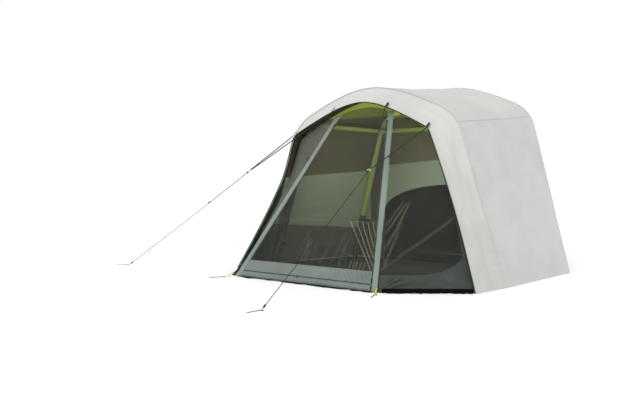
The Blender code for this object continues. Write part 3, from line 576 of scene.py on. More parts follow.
foldFan = {"corner": (1.350, -0.290), "from": 0.563, "step": 0.0453, "count": 5,
           "width": 0.0055, "top": 0.768, "seamWidth": 0.006, "slopeZ": float(slope[2])}
frontNet = netting("insectNettingFront", "#20221d", "#282a23", "#96947f", 0.29, fan=foldFan)
# Folds on the right side's net, drawn only as a painted highlight.
sideFolds = [  # ends as (u, v) on a side panel, width, strength
    ((0.02, 0.112), (0.97, 0.384), 0.0050, 0.55), ((0.20, 0.178), (0.97, 0.394), 0.0045, 0.45),
    ((0.24, 0.222), (0.97, 0.190), 0.0045, 0.35),
]


def foldEnds(start, end, width, strength):  # a fold's ends in the room, and its side
    ends = [sideSurface(1, *map(np.array, place)) for place in (start, end)]
    corner = [sideSurface(1, np.array(u), np.array(v)) for u, v in ((0.1, 0.1), (0.9, 0.1),
                                                                   (0.1, 0.5))]
    normal = np.cross(corner[1] - corner[0], corner[2] - corner[0])
    across = unit(np.cross(ends[1] - ends[0], normal))
    return ends[0].tolist(), ends[1].tolist(), across.tolist(), width, strength


sideNet = netting("insectNettingSide", "#1c1e19", "#24261f", "#8f8c78", 0.29,
                  folds=[foldEnds(*fold) for fold in sideFolds])
# Painted light: the left side's net is the same net drawn much lighter, for the sheen a net shows
# at a grazing view; it is also more opaque, being gathered and seen edge-on.
slackNetPaintedSheen = netting("insectNettingSlackPaintedSheen", "#54574d", "#606358", "#8f8c78", 0.46)


def sleeveMaterial(name, low, high, footColour=None, footHeight=0.0):
    # Ripstop sleeve over an air bladder: a fine square grid with a soft shine, and
    # a darker colour from the ground up to a given height.
    made, tree, shader = newMaterial(name, Roughness=0.5, Sheen_Weight=0.1)
    place, noise = clothDetail(tree, shader, 0.008, 0.0005, noiseScale=6.0)
    colour = tinted(tree, shader, low, high, noise)
    if footColour:
        split = addNode(tree, "ShaderNodeSeparateXYZ", links={"Vector": place})
        edge = addNode(tree, "ShaderNodeMapRange", {"From Min": footHeight + 0.006,
                                                    "From Max": footHeight - 0.006},
                       {"Value": split.outputs["Z"]})
        tinted(tree, shader, colour, footColour, edge.outputs["Result"])
    return made


sleeve = sleeveMaterial("airBeamSleeve", "#a3b556", "#b4c66a")
rearSleeve = sleeveMaterial("rearBeamSleeve", "#a3b556", "#b4c66a", "#484d41", 0.62)
frontSleeve = sleeveMaterial("frontBeamSleeve", "#55523f", "#5f5c48", "#55604f", 1.22)


def ribbed(name, low, high, rib, roughness, metallic=0.0):
    # Fine ribs along Z of the object, broken by grain: webbing, moulded or drawn surfaces.
    made, tree, shader = newMaterial(name, Roughness=roughness, Metallic=metallic)
    place = addNode(tree, "ShaderNodeTexCoord").outputs["Object"]
    wave = addNode(tree, "ShaderNodeTexWave", {"Scale": 1.0 / rib / 6.28, "Distortion": 0.6},
                   {"Vector": place})
    grain = addNode(tree, "ShaderNodeTexNoise", {"Scale": 60.0, "Detail": 4.0},
                    {"Vector": place}).outputs["Fac"]
    tinted(tree, shader, low, high, grain)
    first = bumpInto(tree, shader, wave.outputs["Fac"], 0.0006, 0.6)
    bumpInto(tree, shader, grain, 0.0003, 0.4, first)
    return made


blackWebbing = ribbed("wovenBlackWebbing", "#0d0d0d", "#1b1b1a", 0.004, 0.8)
limeWebbing = ribbed("wovenLimeWebbing", "#8f9a2a", "#b3bd3c", 0.004, 0.75)
limeNylon = ribbed("mouldedLimeNylon", "#c3c95e", "#dde08a", 0.010, 0.4)
blackNylon = ribbed("mouldedBlackNylon", "#101010", "#1c1c1c", 0.006, 0.42)
darkCord = ribbed("braidedBlackCord", "#0e0e0e", "#20201f", 0.003, 0.75)
pegSteel = ribbed("zincPlatedSteel", "#6f7173", "#8c8e90", 0.012, 0.38, metallic=1.0)
paleThread = ribbed("paleThread", "#b4b4b0", "#c2c2be", 0.003, 0.8)
greenThread = ribbed("greenThread", "#5f6c64", "#6f7c74", 0.003, 0.8)
zipCoil = ribbed("nylonZipCoil", "#262b28", "#3a403c", 0.004, 0.5)
print("materials ready")

# Guy cords, first of the pieces.
guyRoutes = {   # each cord's two ends: legs run from their tab to the ring, lines to the peg
    "left_guy_upper_leg": [(-0.4019, -0.3838, 1.9274), (-1.5068, -0.6661, 1.2503)],
    "left_guy_shoulder_leg": [(-0.9909, -0.4381, 1.6657), (-1.5162, -0.6549, 1.2585)],
    "left_guy_line": [(-1.5421, -0.6734, 1.2313), (-3.0100, -1.4480, 0.0120)],
    "right_guy_upper_leg": [(0.4019, -0.3838, 1.9274), (0.7915, -1.1604, 1.2221)],
    "right_guy_shoulder_leg": [(0.9909, -0.4381, 1.6657), (0.8075, -1.1565, 1.2188)],
    "right_guy_line": [(0.8024, -1.1909, 1.1963), (0.9480, -2.7950, 0.0120)],
}
guyCord = {"legRadius": 0.006, "lineRadius": 0.0035, "step": 0.010, "legSag": 0.002,
           "lineSag": 0.004, "braidPitch": 0.020, "braidDepth": 0.07, "knotTurns": 5}


def tautRoute(ends, sag, step):  # a straight run that dips a little at its middle
    start, end = (np.array(p) for p in ends)
    long = np.linalg.norm(end - start)
    t = np.linspace(0, 1, max(16, int(long / step)))[:, None]
    return start + (end - start) * t - np.array([0, 0, 4 * sag * long]) * t * (1 - t)


def braid(distance, angle):  # four strands wound round the cord
    turn = distance / guyCord["braidPitch"] * 2 * math.pi
    return 1 + guyCord["braidDepth"] * np.cos(2 * angle + turn) * np.cos(2 * angle - turn)


def knot(name, centre, direction, radius):  # a few close turns round the cord
    turns = guyCord["knotTurns"]
    t = np.linspace(0, 1, turns * 14)
    along = unit(np.array(direction, float))
    across = unit(np.cross(along, [0.3, 0.2, 0.9]))
    over = np.cross(along, across)
    swell = radius * (1.5 + 0.5 * np.sin(math.pi * t))[:, None]
    angle = (t * turns * 2 * math.pi)[:, None]
    path = (np.array(centre) + along * (t[:, None] - 0.5) * radius * 2 * turns
            + (across * np.cos(angle) + over * np.sin(angle)) * swell)
    return sweep(name, path, radius * 0.8, [darkCord], sides=6, reference=along)


for word in ("left", "right"):
    line = np.array(guyRoutes[word + "_guy_line"])
    run = unit(line[1] - line[0])
    topKnot = knot(word + "_line_top_knot", line[0] + run * 0.014, run,
                   guyCord["lineRadius"])
    footKnot = knot(word + "_line_foot_knot", line[1] - run * 0.030, run,
                    guyCord["lineRadius"])
    for extra in (topKnot, footKnot):
        finishPiece(extra, "shelter", "guy_cord")
    for leg in ("upper_leg", "shoulder_leg", "line"):
        node = f"{word}_guy_{leg}"
        isLine = leg == "line"
        radius = guyCord["lineRadius" if isLine else "legRadius"]
        sag = guyCord["lineSag" if isLine else "legSag"]
        route = tautRoute(guyRoutes[node], sag, guyCord["step"])
        cordPiece = sweep(node + "_cord", route, radius, [darkCord],
                          sides=10, reference=(1, 0, 0), wave=braid)
        finishPiece(cordPiece, "shelter", "guy_cord" if isLine else "black_webbing", node)
print("guy cords ready")

# Fly: hood, roof and walls.
flyForm = {"step": 0.014, "roofSag": 0.016, "hoodSag": 0.006, "wallSag": 0.014,
           "pucker": 0.0032, "puckerPitch": 0.085, "puckerReach": 0.12, "broad": 0.007}


def flyPanel(front, rear, low, high, rows, sag, seed):
    # Ruled between two arches, sagging inwards between them, puckered beside its seams.
    marks = stations(low, high, flyForm["step"])
    t = np.linspace(0, 1, rows)[:, None, None]
    grid = archPoint(front, marks)[None] * (1 - t) + archPoint(rear, marks)[None] * t
    t = t[..., 0]
    along = np.cumsum(np.linalg.norm(np.diff(grid[0], axis=0, prepend=grid[0][:1]), axis=1))
    long = np.linalg.norm(grid[-1] - grid[0], axis=-1).mean()
    toSeam = np.minimum(t, 1 - t) * long
    phase = smoothNoise((rows, len(marks)), (2, 40), seed) * 2.2
    pucker = np.sin(2 * math.pi * along[None] / flyForm["puckerPitch"] + phase)
    amount = (-sag * np.sin(math.pi * t) ** 0.8
              + flyForm["pucker"] * pucker * np.exp(-toSeam / flyForm["puckerReach"])
              * smoothStep(toSeam, 0, 0.03)
              + flyForm["broad"] * smoothNoise((rows, len(marks)), (5, 18), seed + 1)
              * np.sin(math.pi * t))
    ends = np.minimum(along, along[-1] - along)[None]
    amount = amount * (0.25 + 0.75 * smoothStep(ends, 0, 0.05))
    outer = puff(grid, amount)
    outer[..., 2] = np.maximum(outer[..., 2], 0.002)
    return outer


def makeFly():
    hood = flyPanel(hemArch, frontArch, -3, 3, 46, flyForm["hoodSag"], 11)
    obj = shell("hood_cloth", hood, flyCloth, hoodLining)
    finishPiece(obj, "shelter", "fly_cloth", "hood_crown", "left_hood", "right_hood")
    roof = flyPanel(frontArch, rearArch, -wallSeam, wallSeam, 100, flyForm["roofSag"], 23)
    obj = shell("roof_cloth", roof, flyCloth, crownLining)
    finishPiece(obj, "shelter", "fly_cloth", "roof")
    for word, low, high, seed in (("left", -3, -wallSeam, 37), ("right", wallSeam, 3, 41)):
        wall = flyPanel(frontArch, rearArch, low, high, 100, flyForm["wallSag"], seed)
        obj = shell(word + "_wall_cloth", wall, wallCloth, wallLining)
        finishPiece(obj, "shelter", "wall_cloth", word + "_wall")


seamForm = {"half": 0.011, "lift": 0.0009, "dome": 0.0008, "stitchPitch": 0.020,
            "stitch": (0.012, 0.0022, 0.0018), "lineOff": 0.0075}


def archSeam(name, arch):
    # A felled seam: a narrow domed strip over the joint, with two rows of stitches.
    marks = stations(-3, 3, 0.02)
    middle = archPoint(arch, marks)
    out = unit(np.cross(np.gradient(middle, axis=0), [0.0, 1.0, 0.0]))
    out *= np.sign(np.sum(out * (middle - roomCentre), -1, keepdims=True))
    share = np.linspace(-1, 1, 5)[:, None, None]
    strip = (middle[None] + np.array([0, seamForm["half"], 0]) * share
             + out[None] * (seamForm["lift"] + seamForm["dome"] * (1 - share ** 2)))
    strip[..., 2] = np.maximum(strip[..., 2], 0.001)
    obj = shell(name, strip, seamCloth, thickness=0.0010)
    finishPiece(obj, "shelter", "fly_cloth")
    rows = []
    for side in (-1, 1):
        path = middle + np.array([0, seamForm["lineOff"] * side, 0])
        path = path + out * (seamForm["lift"] + seamForm["dome"] * 0.6)
        rows.append(besides(path[4:-4], out[4:-4], seamForm["stitchPitch"]))
    stitches = spindles(name + "_stitches", *(np.concatenate(part) for part in zip(*rows)),
                        seamForm["stitch"], paleThread)
    finishPiece(stitches, "shelter", "fly_cloth")


def wallSeamStrip(name, side):
    # The seam along the shoulder, from the front arch to the rear one.
    t = np.linspace(0, 1, 60)[:, None]
    ends = [archPoint(arch, np.array([side * wallSeam]))[0] for arch in (frontArch, rearArch)]
    sagging = -flyForm["roofSag"] * 0.3 * np.sin(math.pi * t)
    out = unit(np.array([side * 0.75, 0.0, 0.66]))
    middle = ends[0] + (ends[1] - ends[0]) * t + out * sagging
    down = unit(np.cross(out, ends[1] - ends[0]))
    share = np.linspace(-1, 1, 5)[None, :, None]
    strip = middle[:, None] + down * share * seamForm["half"] + out * (0.0018 - 0.0008 * share ** 2)
    obj = shell(name, strip, seamCloth, thickness=0.0010)
    finishPiece(obj, "shelter", "fly_cloth")
    rows = []
    for off in (-1, 1):
        points, along = evenly(middle + down * off * seamForm["lineOff"] + out * 0.0018,
                               seamForm["stitchPitch"])
        rows.append((points, along, np.broadcast_to(out, points.shape)))
    stitches = spindles(name + "_stitches", *(np.concatenate(part) for part in zip(*rows)),
                        seamForm["stitch"], paleThread)
    finishPiece(stitches, "shelter", "fly_cloth")


hemForm = {"ahead": 0.012, "radius": 0.0065, "inset": 0.010, "ripple": 0.10}


def makeHem():
    # The bound front edge of the hood: a cord in a folded black tape.
    marks = stations(-3, 3, 0.012)
    path = archPoint(hemArch, marks) + np.array([0, -hemForm["ahead"], 0])
    path = path[path[:, 2] > hemForm["inset"]]

    def fold(distance, angle):
        return 1 + hemForm["ripple"] * np.sin(distance / 0.045) * np.cos(angle - 1.1)

    obj = sweep("hem_binding", path, hemForm["radius"], [blackWebbing], sides=12,
                reference=(0, -1, 0), wave=fold)
    finishPiece(obj, "shelter", "black_webbing")


makeFly()
archSeam("front_arch_seam", frontArch)
archSeam("rear_arch_seam", rearArch)
wallSeamStrip("left_shoulder_seam", -1)
wallSeamStrip("right_shoulder_seam", 1)
makeHem()
print("fly ready")

# Inflated frame.
beamForm = {"radius": 0.046, "spacerRadius": 0.027, "crease": 0.035, "creasePitch": 0.055,
            "front": {"y": -0.030, "inset": 0.085}, "rear": {"y": 1.550, "inset": 0.066},
            "spacerHalf": 0.965, "spacerHeight": 1.825}


def makeBeam(name, arch, beam, cover):
    # An inflated sleeve: round, with short folds on the inside of its bends.
    line = drawnIn({**arch, "y": beam["y"]}, beam["inset"])
    marks = stations(-3, 3, 0.010)
    path = archPoint(line, marks)
    path = path[(path[:, 2] > 0.002) | (np.abs(marks) < 3)]
    bend = np.linalg.norm(np.gradient(unit(np.gradient(path, axis=0)), axis=0), axis=1)
    bend = np.convolve(bend / bend.max(), np.ones(9) / 9, mode="same")[:, None]

    def folds(distance, angle):
        inside = smoothStep(-np.cos(angle), -0.2, 1.0)
        small = 0.006 * np.sin(distance / 0.023 + 2 * np.sin(distance * 3.1))
        return (1 - beamForm["crease"] * (0.15 + bend) * inside
                * (0.5 + 0.5 * np.sin(distance / beamForm["creasePitch"] * 2 * math.pi)) + small)

    obj = sweep(name + "_sleeve", path, beamForm["radius"], [cover], sides=28,
                reference=(0, 1, 0), wave=folds)
    level = obj.data
    co = np.zeros(len(level.vertices) * 3)
    level.vertices.foreach_get("co", co)
    co = co.reshape(-1, 3)
    co[:, 2] = np.maximum(co[:, 2], 0.001)
    level.vertices.foreach_set("co", co.ravel())
    finishPiece(obj, "shelter", "beam_sleeve", name)
    out = unit(np.cross(np.gradient(path, axis=0), [0.0, 1.0, 0.0]))
    out *= np.sign(np.sum(out * (path - roomCentre), -1, keepdims=True))
    seamPath = (path - out * (beamForm["radius"] + 0.001) * 0.72
                - np.array([0, 0.69 * beamForm["radius"], 0]))[8:-8]
    stitches = spindles(name + "_stitches", *besides(seamPath, -out[8:-8], 0.022),
                        (0.013, 0.0026, 0.0020), greenThread)
    finishPiece(stitches, "shelter", "beam_sleeve")


def makeSpacer(word, side):
    low, high = (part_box(word + "_spacer_beam")[k].y for k in (0, 1))
    y = np.linspace(low + 0.001, high - 0.001, 130)
    ends = np.minimum(y - low, high - y)
    path = np.stack([np.full_like(y, side * beamForm["spacerHalf"]), y,
                     np.full_like(y, beamForm["spacerHeight"])], -1)
    taper = beamForm["spacerRadius"] * (0.80 + 0.20 * smoothStep(ends, 0, 0.05))

    def gathers(distance, angle):
        near = np.exp(-np.minimum(distance, high - low - distance) / 0.06)
        return 1 + near * 0.06 * np.sin(8 * angle) + 0.006 * np.sin(distance / 0.03)

    obj = sweep(word + "_spacer_sleeve", path, taper, [sleeve], sides=24, reference=(0, 0, 1),
                wave=gathers)
    finishPiece(obj, "shelter", "beam_sleeve", word + "_spacer_beam")


makeBeam("front_air_beam", frontArch, beamForm["front"], frontSleeve)
makeBeam("rear_air_beam", rearArch, beamForm["rear"], rearSleeve)
makeSpacer("left", -1)
makeSpacer("right", 1)
print("beams ready")

# Rear wall and its door.
rearForm = {"y": 1.632, "inset": 0.014, "doorHalf": 1.100, "side": 0.700, "crown": 1.060,
            "sill": 0.020, "gap": 0.008, "stripHeight": 1.850, "stripTall": 0.060,
            "stripHalf": 1.08}


def doorOutline(margin, count):  # from the left foot over the arch to the right foot
    half = rearForm["doorHalf"] - margin
    rise = rearForm["crown"] - rearForm["side"] - margin
    turn = np.linspace(math.pi, 0, count)
    legs = np.linspace(0, 1, 40)[:, None]
    low = rearForm["sill"] + margin
    left = np.concatenate([np.full((40, 1), -half), low + (rearForm["side"] - low) * legs], 1)
    over = np.stack([half * np.cos(turn), rearForm["side"] + rise * np.sin(turn)], -1)
    right = left[::-1] * np.array([-1, 1])
    return np.concatenate([left[:-1], over, right[1:]])


def makeRear():
    inner = doorOutline(0.0, 160)
    share = np.linspace(0, 1, len(inner))
    wall = drawnIn(rearArch, rearForm["inset"])
    line = archPoint(wall, stations(-3, 3, 0.01))[:, [0, 2]]
    distance = np.concatenate([[0], np.cumsum(np.linalg.norm(np.diff(line, axis=0), axis=1))])
    outer = np.stack([np.interp(share * distance[-1], distance, line[:, k]) for k in (0, 1)], -1)
    inner[0, 1] = inner[-1, 1] = outer[0, 1] + 0.003
    t = np.linspace(0, 1, 60)[:, None, None]
    flat = inner[None] * (1 - t) + outer[None] * t
    grid = np.stack([flat[..., 0], np.full(flat.shape[:2], rearForm["y"]), flat[..., 1]], -1)
    t = t[..., 0]
    bulge = (0.0035 * smoothNoise(t.shape[:1] + (len(inner),), (5, 26), 71)
             * np.sin(math.pi * t) + 0.004 * np.sin(math.pi * t))
    grid[..., 1] += bulge
    grid[..., 2] = np.maximum(grid[..., 2], 0.002)
    obj = shell("rear_wall_cloth", grid, wallCloth, rearLining)
    finishPiece(obj, "shelter", "grey_green_cloth", "rear_wall")
    half = rearForm["doorHalf"] - rearForm["gap"]
    x = half * np.sin(np.linspace(-math.pi / 2, math.pi / 2, 120))
    top = (rearForm["side"] + (rearForm["crown"] - rearForm["side"] - rearForm["gap"])
           * np.sqrt(np.clip(1 - (x / half) ** 2, 0, 1)))
    low = rearForm["sill"] + rearForm["gap"]
    t = np.linspace(0, 1, 60)[:, None]
    z = low + (top[None] - low) * t
    xs = np.broadcast_to(x, z.shape)
    fall = (0.004 * np.sin(xs * 9 + 1.5 * smoothNoise(z.shape, (3, 8), 5)) * (1 - t) ** 0.5
            * np.sin(math.pi * (xs / half * 0.5 + 0.5)))
    door = np.stack([xs, rearForm["y"] + 0.001 + fall, z], -1)
    obj = shell("rear_door_cloth", door, wallCloth, doorCloth)
    finishPiece(obj, "rear_door", "dark_cloth", "rear_door")
    outline = doorOutline(rearForm["gap"] / 2, 160)
    path = np.stack([outline[:, 0], np.full(len(outline), rearForm["y"] - 0.0005),
                     outline[:, 1]], -1)
    points, along = evenly(path, 0.012)
    teeth = spindles("rear_door_zip_teeth", points, along,
                     np.broadcast_to([0.0, 1.0, 0.0], points.shape), (0.009, 0.0065, 0.004),
                     zipCoil)
    finishPiece(teeth, "shelter", "black_moulding")
    # The strip of cloth under the door, then a storm flap over the room's side of its zip.
    xs = np.linspace(-rearForm["doorHalf"] - 0.02, rearForm["doorHalf"] + 0.02, 120)[None]
    zs = np.linspace(0.002, rearForm["sill"] + rearForm["gap"] + 0.012, 6)[:, None]
    low = np.stack([np.broadcast_to(xs, (6, 120)),
                    rearForm["y"] - 0.009 + 0.0010 * smoothNoise((6, 120), (1, 14), 3),
                    np.broadcast_to(zs, (6, 120))], -1)
    obj = shell("rear_door_sill", low, wallCloth, doorCloth, thickness=0.0014)
    finishPiece(obj, "shelter", "dark_cloth")
    edges = [doorOutline(margin, 160) for margin in (-0.014, -0.005, 0.005, 0.014, 0.024)]
    lift = (0.004, 0.007, 0.008, 0.007, 0.005)
    flap = np.stack([np.stack([edge[:, 0], np.full(len(edge), rearForm["y"] - 0.002 - rise),
                               edge[:, 1]], -1) for edge, rise in zip(edges, lift)])
    flap[..., 2] = np.maximum(flap[..., 2], 0.012)
    obj = shell("rear_door_storm_flap", flap, doorCloth, thickness=0.0012,
                centre=np.array([0.0, 3.0, 0.6]))
    finishPiece(obj, "shelter", "dark_cloth")
    xs = np.linspace(-rearForm["stripHalf"], rearForm["stripHalf"], 120)[None]
    zs = np.linspace(-0.5, 0.5, 9)[:, None] * rearForm["stripTall"] + rearForm["stripHeight"]
    lift = 0.010 * (1 - (np.linspace(-1, 1, 9)[:, None]) ** 2) ** 0.5 + 0.006
    lift = lift + 0.0012 * np.sin(xs * 40)
    strip = np.stack([np.broadcast_to(xs, (9, 120)),
                      rearForm["y"] - 0.012 - lift * np.ones((9, 120)),
                      np.broadcast_to(zs, (9, 120))], -1)
    obj = shell("rear_lining_strip", strip, sleeve, thickness=0.0015,
                centre=np.array([0.0, 3.0, 1.85]))
    finishPiece(obj, "shelter", "beam_sleeve")


makeRear()
floorForm = {"lift": 0.0030, "leftCorner": 0.145,
             "outline": ((-1.322, 0.965), (-0.735, 1.715), (-0.125, 1.765), (-0.095, 1.765),
                         (-0.0945, 1.638), (0.035, 1.638), (0.0355, 1.760), (1.485, 1.675),
                         (1.4855, 1.560), (1.600, 1.560), (1.6005, 1.668), (1.620, 1.668))}


def makeFloorCloth():
    # Sewn floor, notched round the beams' feet, lying in low creases.
    y, half = np.array(floorForm["outline"]).T
    rows = np.unique(np.concatenate([np.linspace(y[0], y[-1], 120), y]))
    half = np.interp(rows, y, half)[:, None]
    t = np.linspace(-1, 1, 110)[None]
    x = half * t
    near = np.exp(-((rows[:, None] - y[1]) / 0.30) ** 2)    # the left leg is drawn in here
    x = x + floorForm["leftCorner"] * near * smoothStep(-t, 0.6, 1.0)
    z = floorForm["lift"] + 0.0015 * smoothNoise(x.shape, (9, 11), 77)
    grid = np.stack([x, np.broadcast_to(rows[:, None], x.shape), z], -1)
    obj = shell("floor_cloth_sheet", grid, floorCloth, thickness=0.0012,
                centre=np.array([0.0, 0.0, -2.0]))
    finishPiece(obj, "shelter", "dark_cloth", "floor_cloth")


makeFloorCloth()
print("rear wall ready")

# Mesh bay: front panel, sill and bands.
panelForm = {"sag": 0.012, "creaseHeight": 0.006, "topClear": 0.012}


def creaseField(x, y, start, end, width):
    # A soft ridge along a line: one on it, falling off beside it and at its ends.
    start, end = np.array(start, float), np.array(end, float)
    run = end - start
    long = np.hypot(*run)
    t = np.clip(((x - start[0]) * run[0] + (y - start[1]) * run[1]) / long ** 2, 0, 1)
    away = np.hypot(x - start[0] - t * run[0], y - start[1] - t * run[1])
    return np.exp(-(away / width) ** 2)


stitchForm = {"pitch": 0.018, "size": (0.011, 0.0022, 0.0018)}


def bayStitches(name, body, points, along, over):
    stitches = spindles(name, points, along, over, stitchForm["size"], greenThread)
    finishPiece(stitches, body, "grey_green_cloth")


def frontStitches(name, body, path):  # a row of stitches on the leaning front
    points, along = evenly(path, stitchForm["pitch"])
    bayStitches(name, body, points, along, np.broadcast_to(frontNormal, points.shape))


def panelGrid(low, high, rows, cols):
    # Across the front between the zips, from one distance up the slope to another.
    u = np.linspace(-1, 1, cols)
    bottom = frontPlane["sill"] + frontPlane["zipGap"]
    footX = u * (bandEdge(bottom) - frontPlane["bandWidth"] - frontPlane["zipGap"])
    topX = u * frontPlane["panelTopHalf"]
    topUp = (crownHeight(bayArch, topX) - panelForm["topClear"]) / slope[2]
    upLow = np.full_like(u, low)
    upHigh = topUp if high is None else np.full_like(u, high)
    up = upLow + (upHigh - upLow) * np.linspace(0, 1, rows)[:, None]
    share = (up - bottom) / (topUp - bottom)
    return footX + (topX - footX) * share, up, share


def makeFrontPanel():
    bottom = frontPlane["sill"] + frontPlane["zipGap"]
    x, up, share = panelGrid(frontPlane["meshFrom"], None, 190, 150)
    angle = np.arctan2(foldFan["corner"][0] - x, up - foldFan["corner"][1])
    turn = (angle - foldFan["from"]) / foldFan["step"]
    crease = (np.exp(-((turn - np.round(turn)) / 0.25) ** 2) * (turn > -0.5)
              * (turn < foldFan["count"] - 0.5) * smoothStep(foldFan["top"] - up, 0, 0.05))
    random = np.random.default_rng(8)
    faint = np.zeros_like(x)
    for _ in range(16):
        left = random.uniform(-0.55, 0.45)
        foot = (left + random.uniform(-0.03, 0.03), random.uniform(0.23, 0.30))
        head = (left + random.uniform(-0.08, 0.08), random.uniform(0.45, 0.62))
        faint = np.maximum(faint, creaseField(x, up, foot, head, 0.006)
                           * random.uniform(0.10, 0.30))
    for _ in range(5):
        left = random.uniform(0.55, 0.80)
        faint = np.maximum(faint, 0.45 * creaseField(x, up, (left, 0.235), (left, 0.31), 0.006))
    edge = 1 - np.abs(np.linspace(-1, 1, x.shape[1]))[None]
    sag = -panelForm["sag"] * np.minimum(edge * 3, 1) * np.sin(math.pi * np.clip(share, 0, 1))
    out = (sag + crease * panelForm["creaseHeight"] + faint * 0.003
           + 0.002 * smoothNoise(x.shape, (9, 7), 31) * np.minimum(edge * 6, 1))
    net = frontPoint(x, up, out)
    # The faint creases also paint the net lighter there: painted highlight.
    obj = shell("front_mesh", net, frontNet, thickness=0.0010, values={"crease": faint})
    finishPiece(obj, "front_panel", "insect_mesh", "front_mesh_panel")
    x, up, share = panelGrid(bottom, frontPlane["meshFrom"] + 0.004, 24, 220)
    tall = (up - bottom) / (frontPlane["meshFrom"] - bottom)
    right = smoothStep(x, 0.05, 0.55)
    pucker = np.sin((x * 1.0 + up * 0.75) * 2 * math.pi / 0.058) * right
    soft = smoothNoise(x.shape, (3, 24), 13)
    out = (0.004 + 0.008 * np.sin(math.pi * np.clip(tall, 0, 1))
           + 0.0100 * pucker * np.sin(math.pi * np.clip(tall * 0.9 + 0.05, 0, 1)) + 0.002 * soft)
    skirt = frontPoint(x, up, out)
    obj = shell("front_skirt", skirt, skirtCloth, thickness=0.0014)
    finishPiece(obj, "front_panel", "grey_green_cloth")
    for name, height in (("skirt_top_stitches", frontPlane["meshFrom"] - 0.006),
                         ("skirt_foot_stitches", bottom + 0.012)):
        reach = float(bandEdge(height) - frontPlane["bandWidth"] - 0.03)
        path = frontPoint(np.linspace(-reach, reach, 200), height, 0.0075)
        frontStitches(name, "front_panel", path)


def makeSill():
    up = np.linspace(frontPlane["clear"], frontPlane["sill"], 16)[:, None]
    u = np.linspace(-1, 1, 220)[None]
    x = u * (bandEdge(up) - frontPlane["bandWidth"] - 0.005)
    t = (up - frontPlane["clear"]) / (frontPlane["sill"] - frontPlane["clear"])
    out = (0.019 * np.sin(math.pi * t ** 0.8) ** 0.8
           + 0.004 * smoothNoise((16, 220), (2, 16), 51) * np.sin(math.pi * t)
           + 0.0015 * np.sin(x * 2 * math.pi / 0.11 + 4 * t))
    sill = frontPoint(x, up * np.ones_like(x), np.maximum(out, 0.0))
    obj = shell("front_sill_cloth", sill, skirtCloth)
    finishPiece(obj, "shelter", "grey_green_cloth", "front_sill")


def makeBand(word, side):
    # The band beside the zip: two layers of cloth, stitched along both edges.
    up = np.linspace(frontPlane["clear"], frontPlane["bandLength"], 200)[:, None]
    share = np.linspace(0, 1, 11)[None]
    outer = bandEdge(up) - 0.0004
    x = side * (outer - frontPlane["bandWidth"] * share)
    curl = 0.0035 * np.sin(math.pi * share) ** 0.6
    wave = 0.0016 * np.sin(up / 0.045 + 2 * np.sin(up * 2.1) + 3 * share)
    low = np.exp(-up / 0.35)
    folds = 0.005 * low * np.sin(share * 3 * math.pi + up * 5)
    out = curl + wave * np.sin(math.pi * share) + folds * np.sin(math.pi * share)
    strip = frontPoint(x, up * np.ones_like(x), np.maximum(out, 0) + 0.001)
    obj = shell(word + "_band_cloth", strip, greenCloth)
    finishPiece(obj, "shelter", "grey_green_cloth", word + "_band")
    for name, inset in (("outer", 0.006), ("inner", frontPlane["bandWidth"] - 0.006)):
        ups = np.linspace(0.03, 2.12, 200)
        path = frontPoint(side * (bandEdge(ups) - inset), ups, 0.0042)
        frontStitches(f"{word}_band_{name}_stitches", "shelter", path)


zipForm = {"pitch": 0.008, "tooth": (0.0045, 0.0055, 0.0035), "tape": 0.011}


def zipRow(name, path, out, body, across, side):
    # One side of a coil zip: its tape and its row of teeth.
    out = np.broadcast_to(out, path.shape)
    share = np.linspace(0, 1, 3)[None, :, None]
    tape = (path[:, None] + np.asarray(across) * share * zipForm["tape"] * side
            + out[:, None] * 0.0022)
    obj = shell(name + "_tape", tape, edgeCloth, thickness=0.0008)
    finishPiece(obj, body, "black_moulding")
    points, along = evenly(path, zipForm["pitch"])
    points = points + np.asarray(across) * side * 0.0004
    teeth = spindles(name + "_teeth", points, np.broadcast_to(across, points.shape),
                     np.broadcast_to(out[0], points.shape), zipForm["tooth"], zipCoil)
    finishPiece(teeth, body, "black_moulding")


def makeZips():
    for word, side in (("left", -1), ("right", 1)):
        ups = np.linspace(frontPlane["sill"] + 0.012, 2.06, 240)
        middle = side * (bandEdge(ups) - frontPlane["bandWidth"] - frontPlane["zipGap"] / 2)
        rises = unit(frontPoint(middle, ups)[-1] - frontPoint(middle, ups)[0])
        across = np.cross(rises, frontNormal)
        across = across * np.sign(across[0]) * side
        for part, body, off in (("fixed", "shelter", 1), ("moving", "front_panel", -1)):
            path = frontPoint(middle, ups) + across * off * 0.0021
            if part == "moving":
                path = path + rises * zipForm["pitch"] / 2
            zipRow(f"{word}_zip_{part}", path, frontNormal, body, across, off)
    up = frontPlane["sill"] + frontPlane["zipGap"] / 2
    reach = float(bandEdge(up) - frontPlane["bandWidth"] - 0.012)
    for part, body, off in (("fixed", "shelter", -1), ("moving", "front_panel", 1)):
        path = frontPoint(np.linspace(-reach, reach, 200), up + off * 0.0021)
        zipRow(f"sill_zip_{part}", path, frontNormal, body, slope, off)


makeFrontPanel()
makeSill()
makeBand("left", -1)
makeBand("right", 1)
makeZips()
print("front ready")

# Mesh bay: sides.
def cornerLine(u):  # level, then a quarter ellipse up to the hem
    t = np.clip((u - sideForm["start"]) / (1 - sideForm["start"]), 0, 1)
    return sideForm["low"] + (sideForm["high"] - sideForm["low"]) * (1 - np.sqrt(1 - t * t))


sideCreases = [  # (u, v) from, (u, v) to, width, strength
    ((0.04, 0.30), (0.30, 0.46), 0.012, 0.30),
    ((0.04, 0.34), (0.26, 0.47), 0.010, 0.28), ((0.05, 0.22), (0.36, 0.47), 0.014, 0.28),
    ((0.06, 0.14), (0.24, 0.36), 0.016, 0.22), ((0.25, 0.62), (0.70, 0.80), 0.030, 0.10),
    ((0.35, 0.60), (0.85, 0.78), 0.030, 0.10), ((0.10, 0.55), (0.60, 0.74), 0.028, 0.08),
]


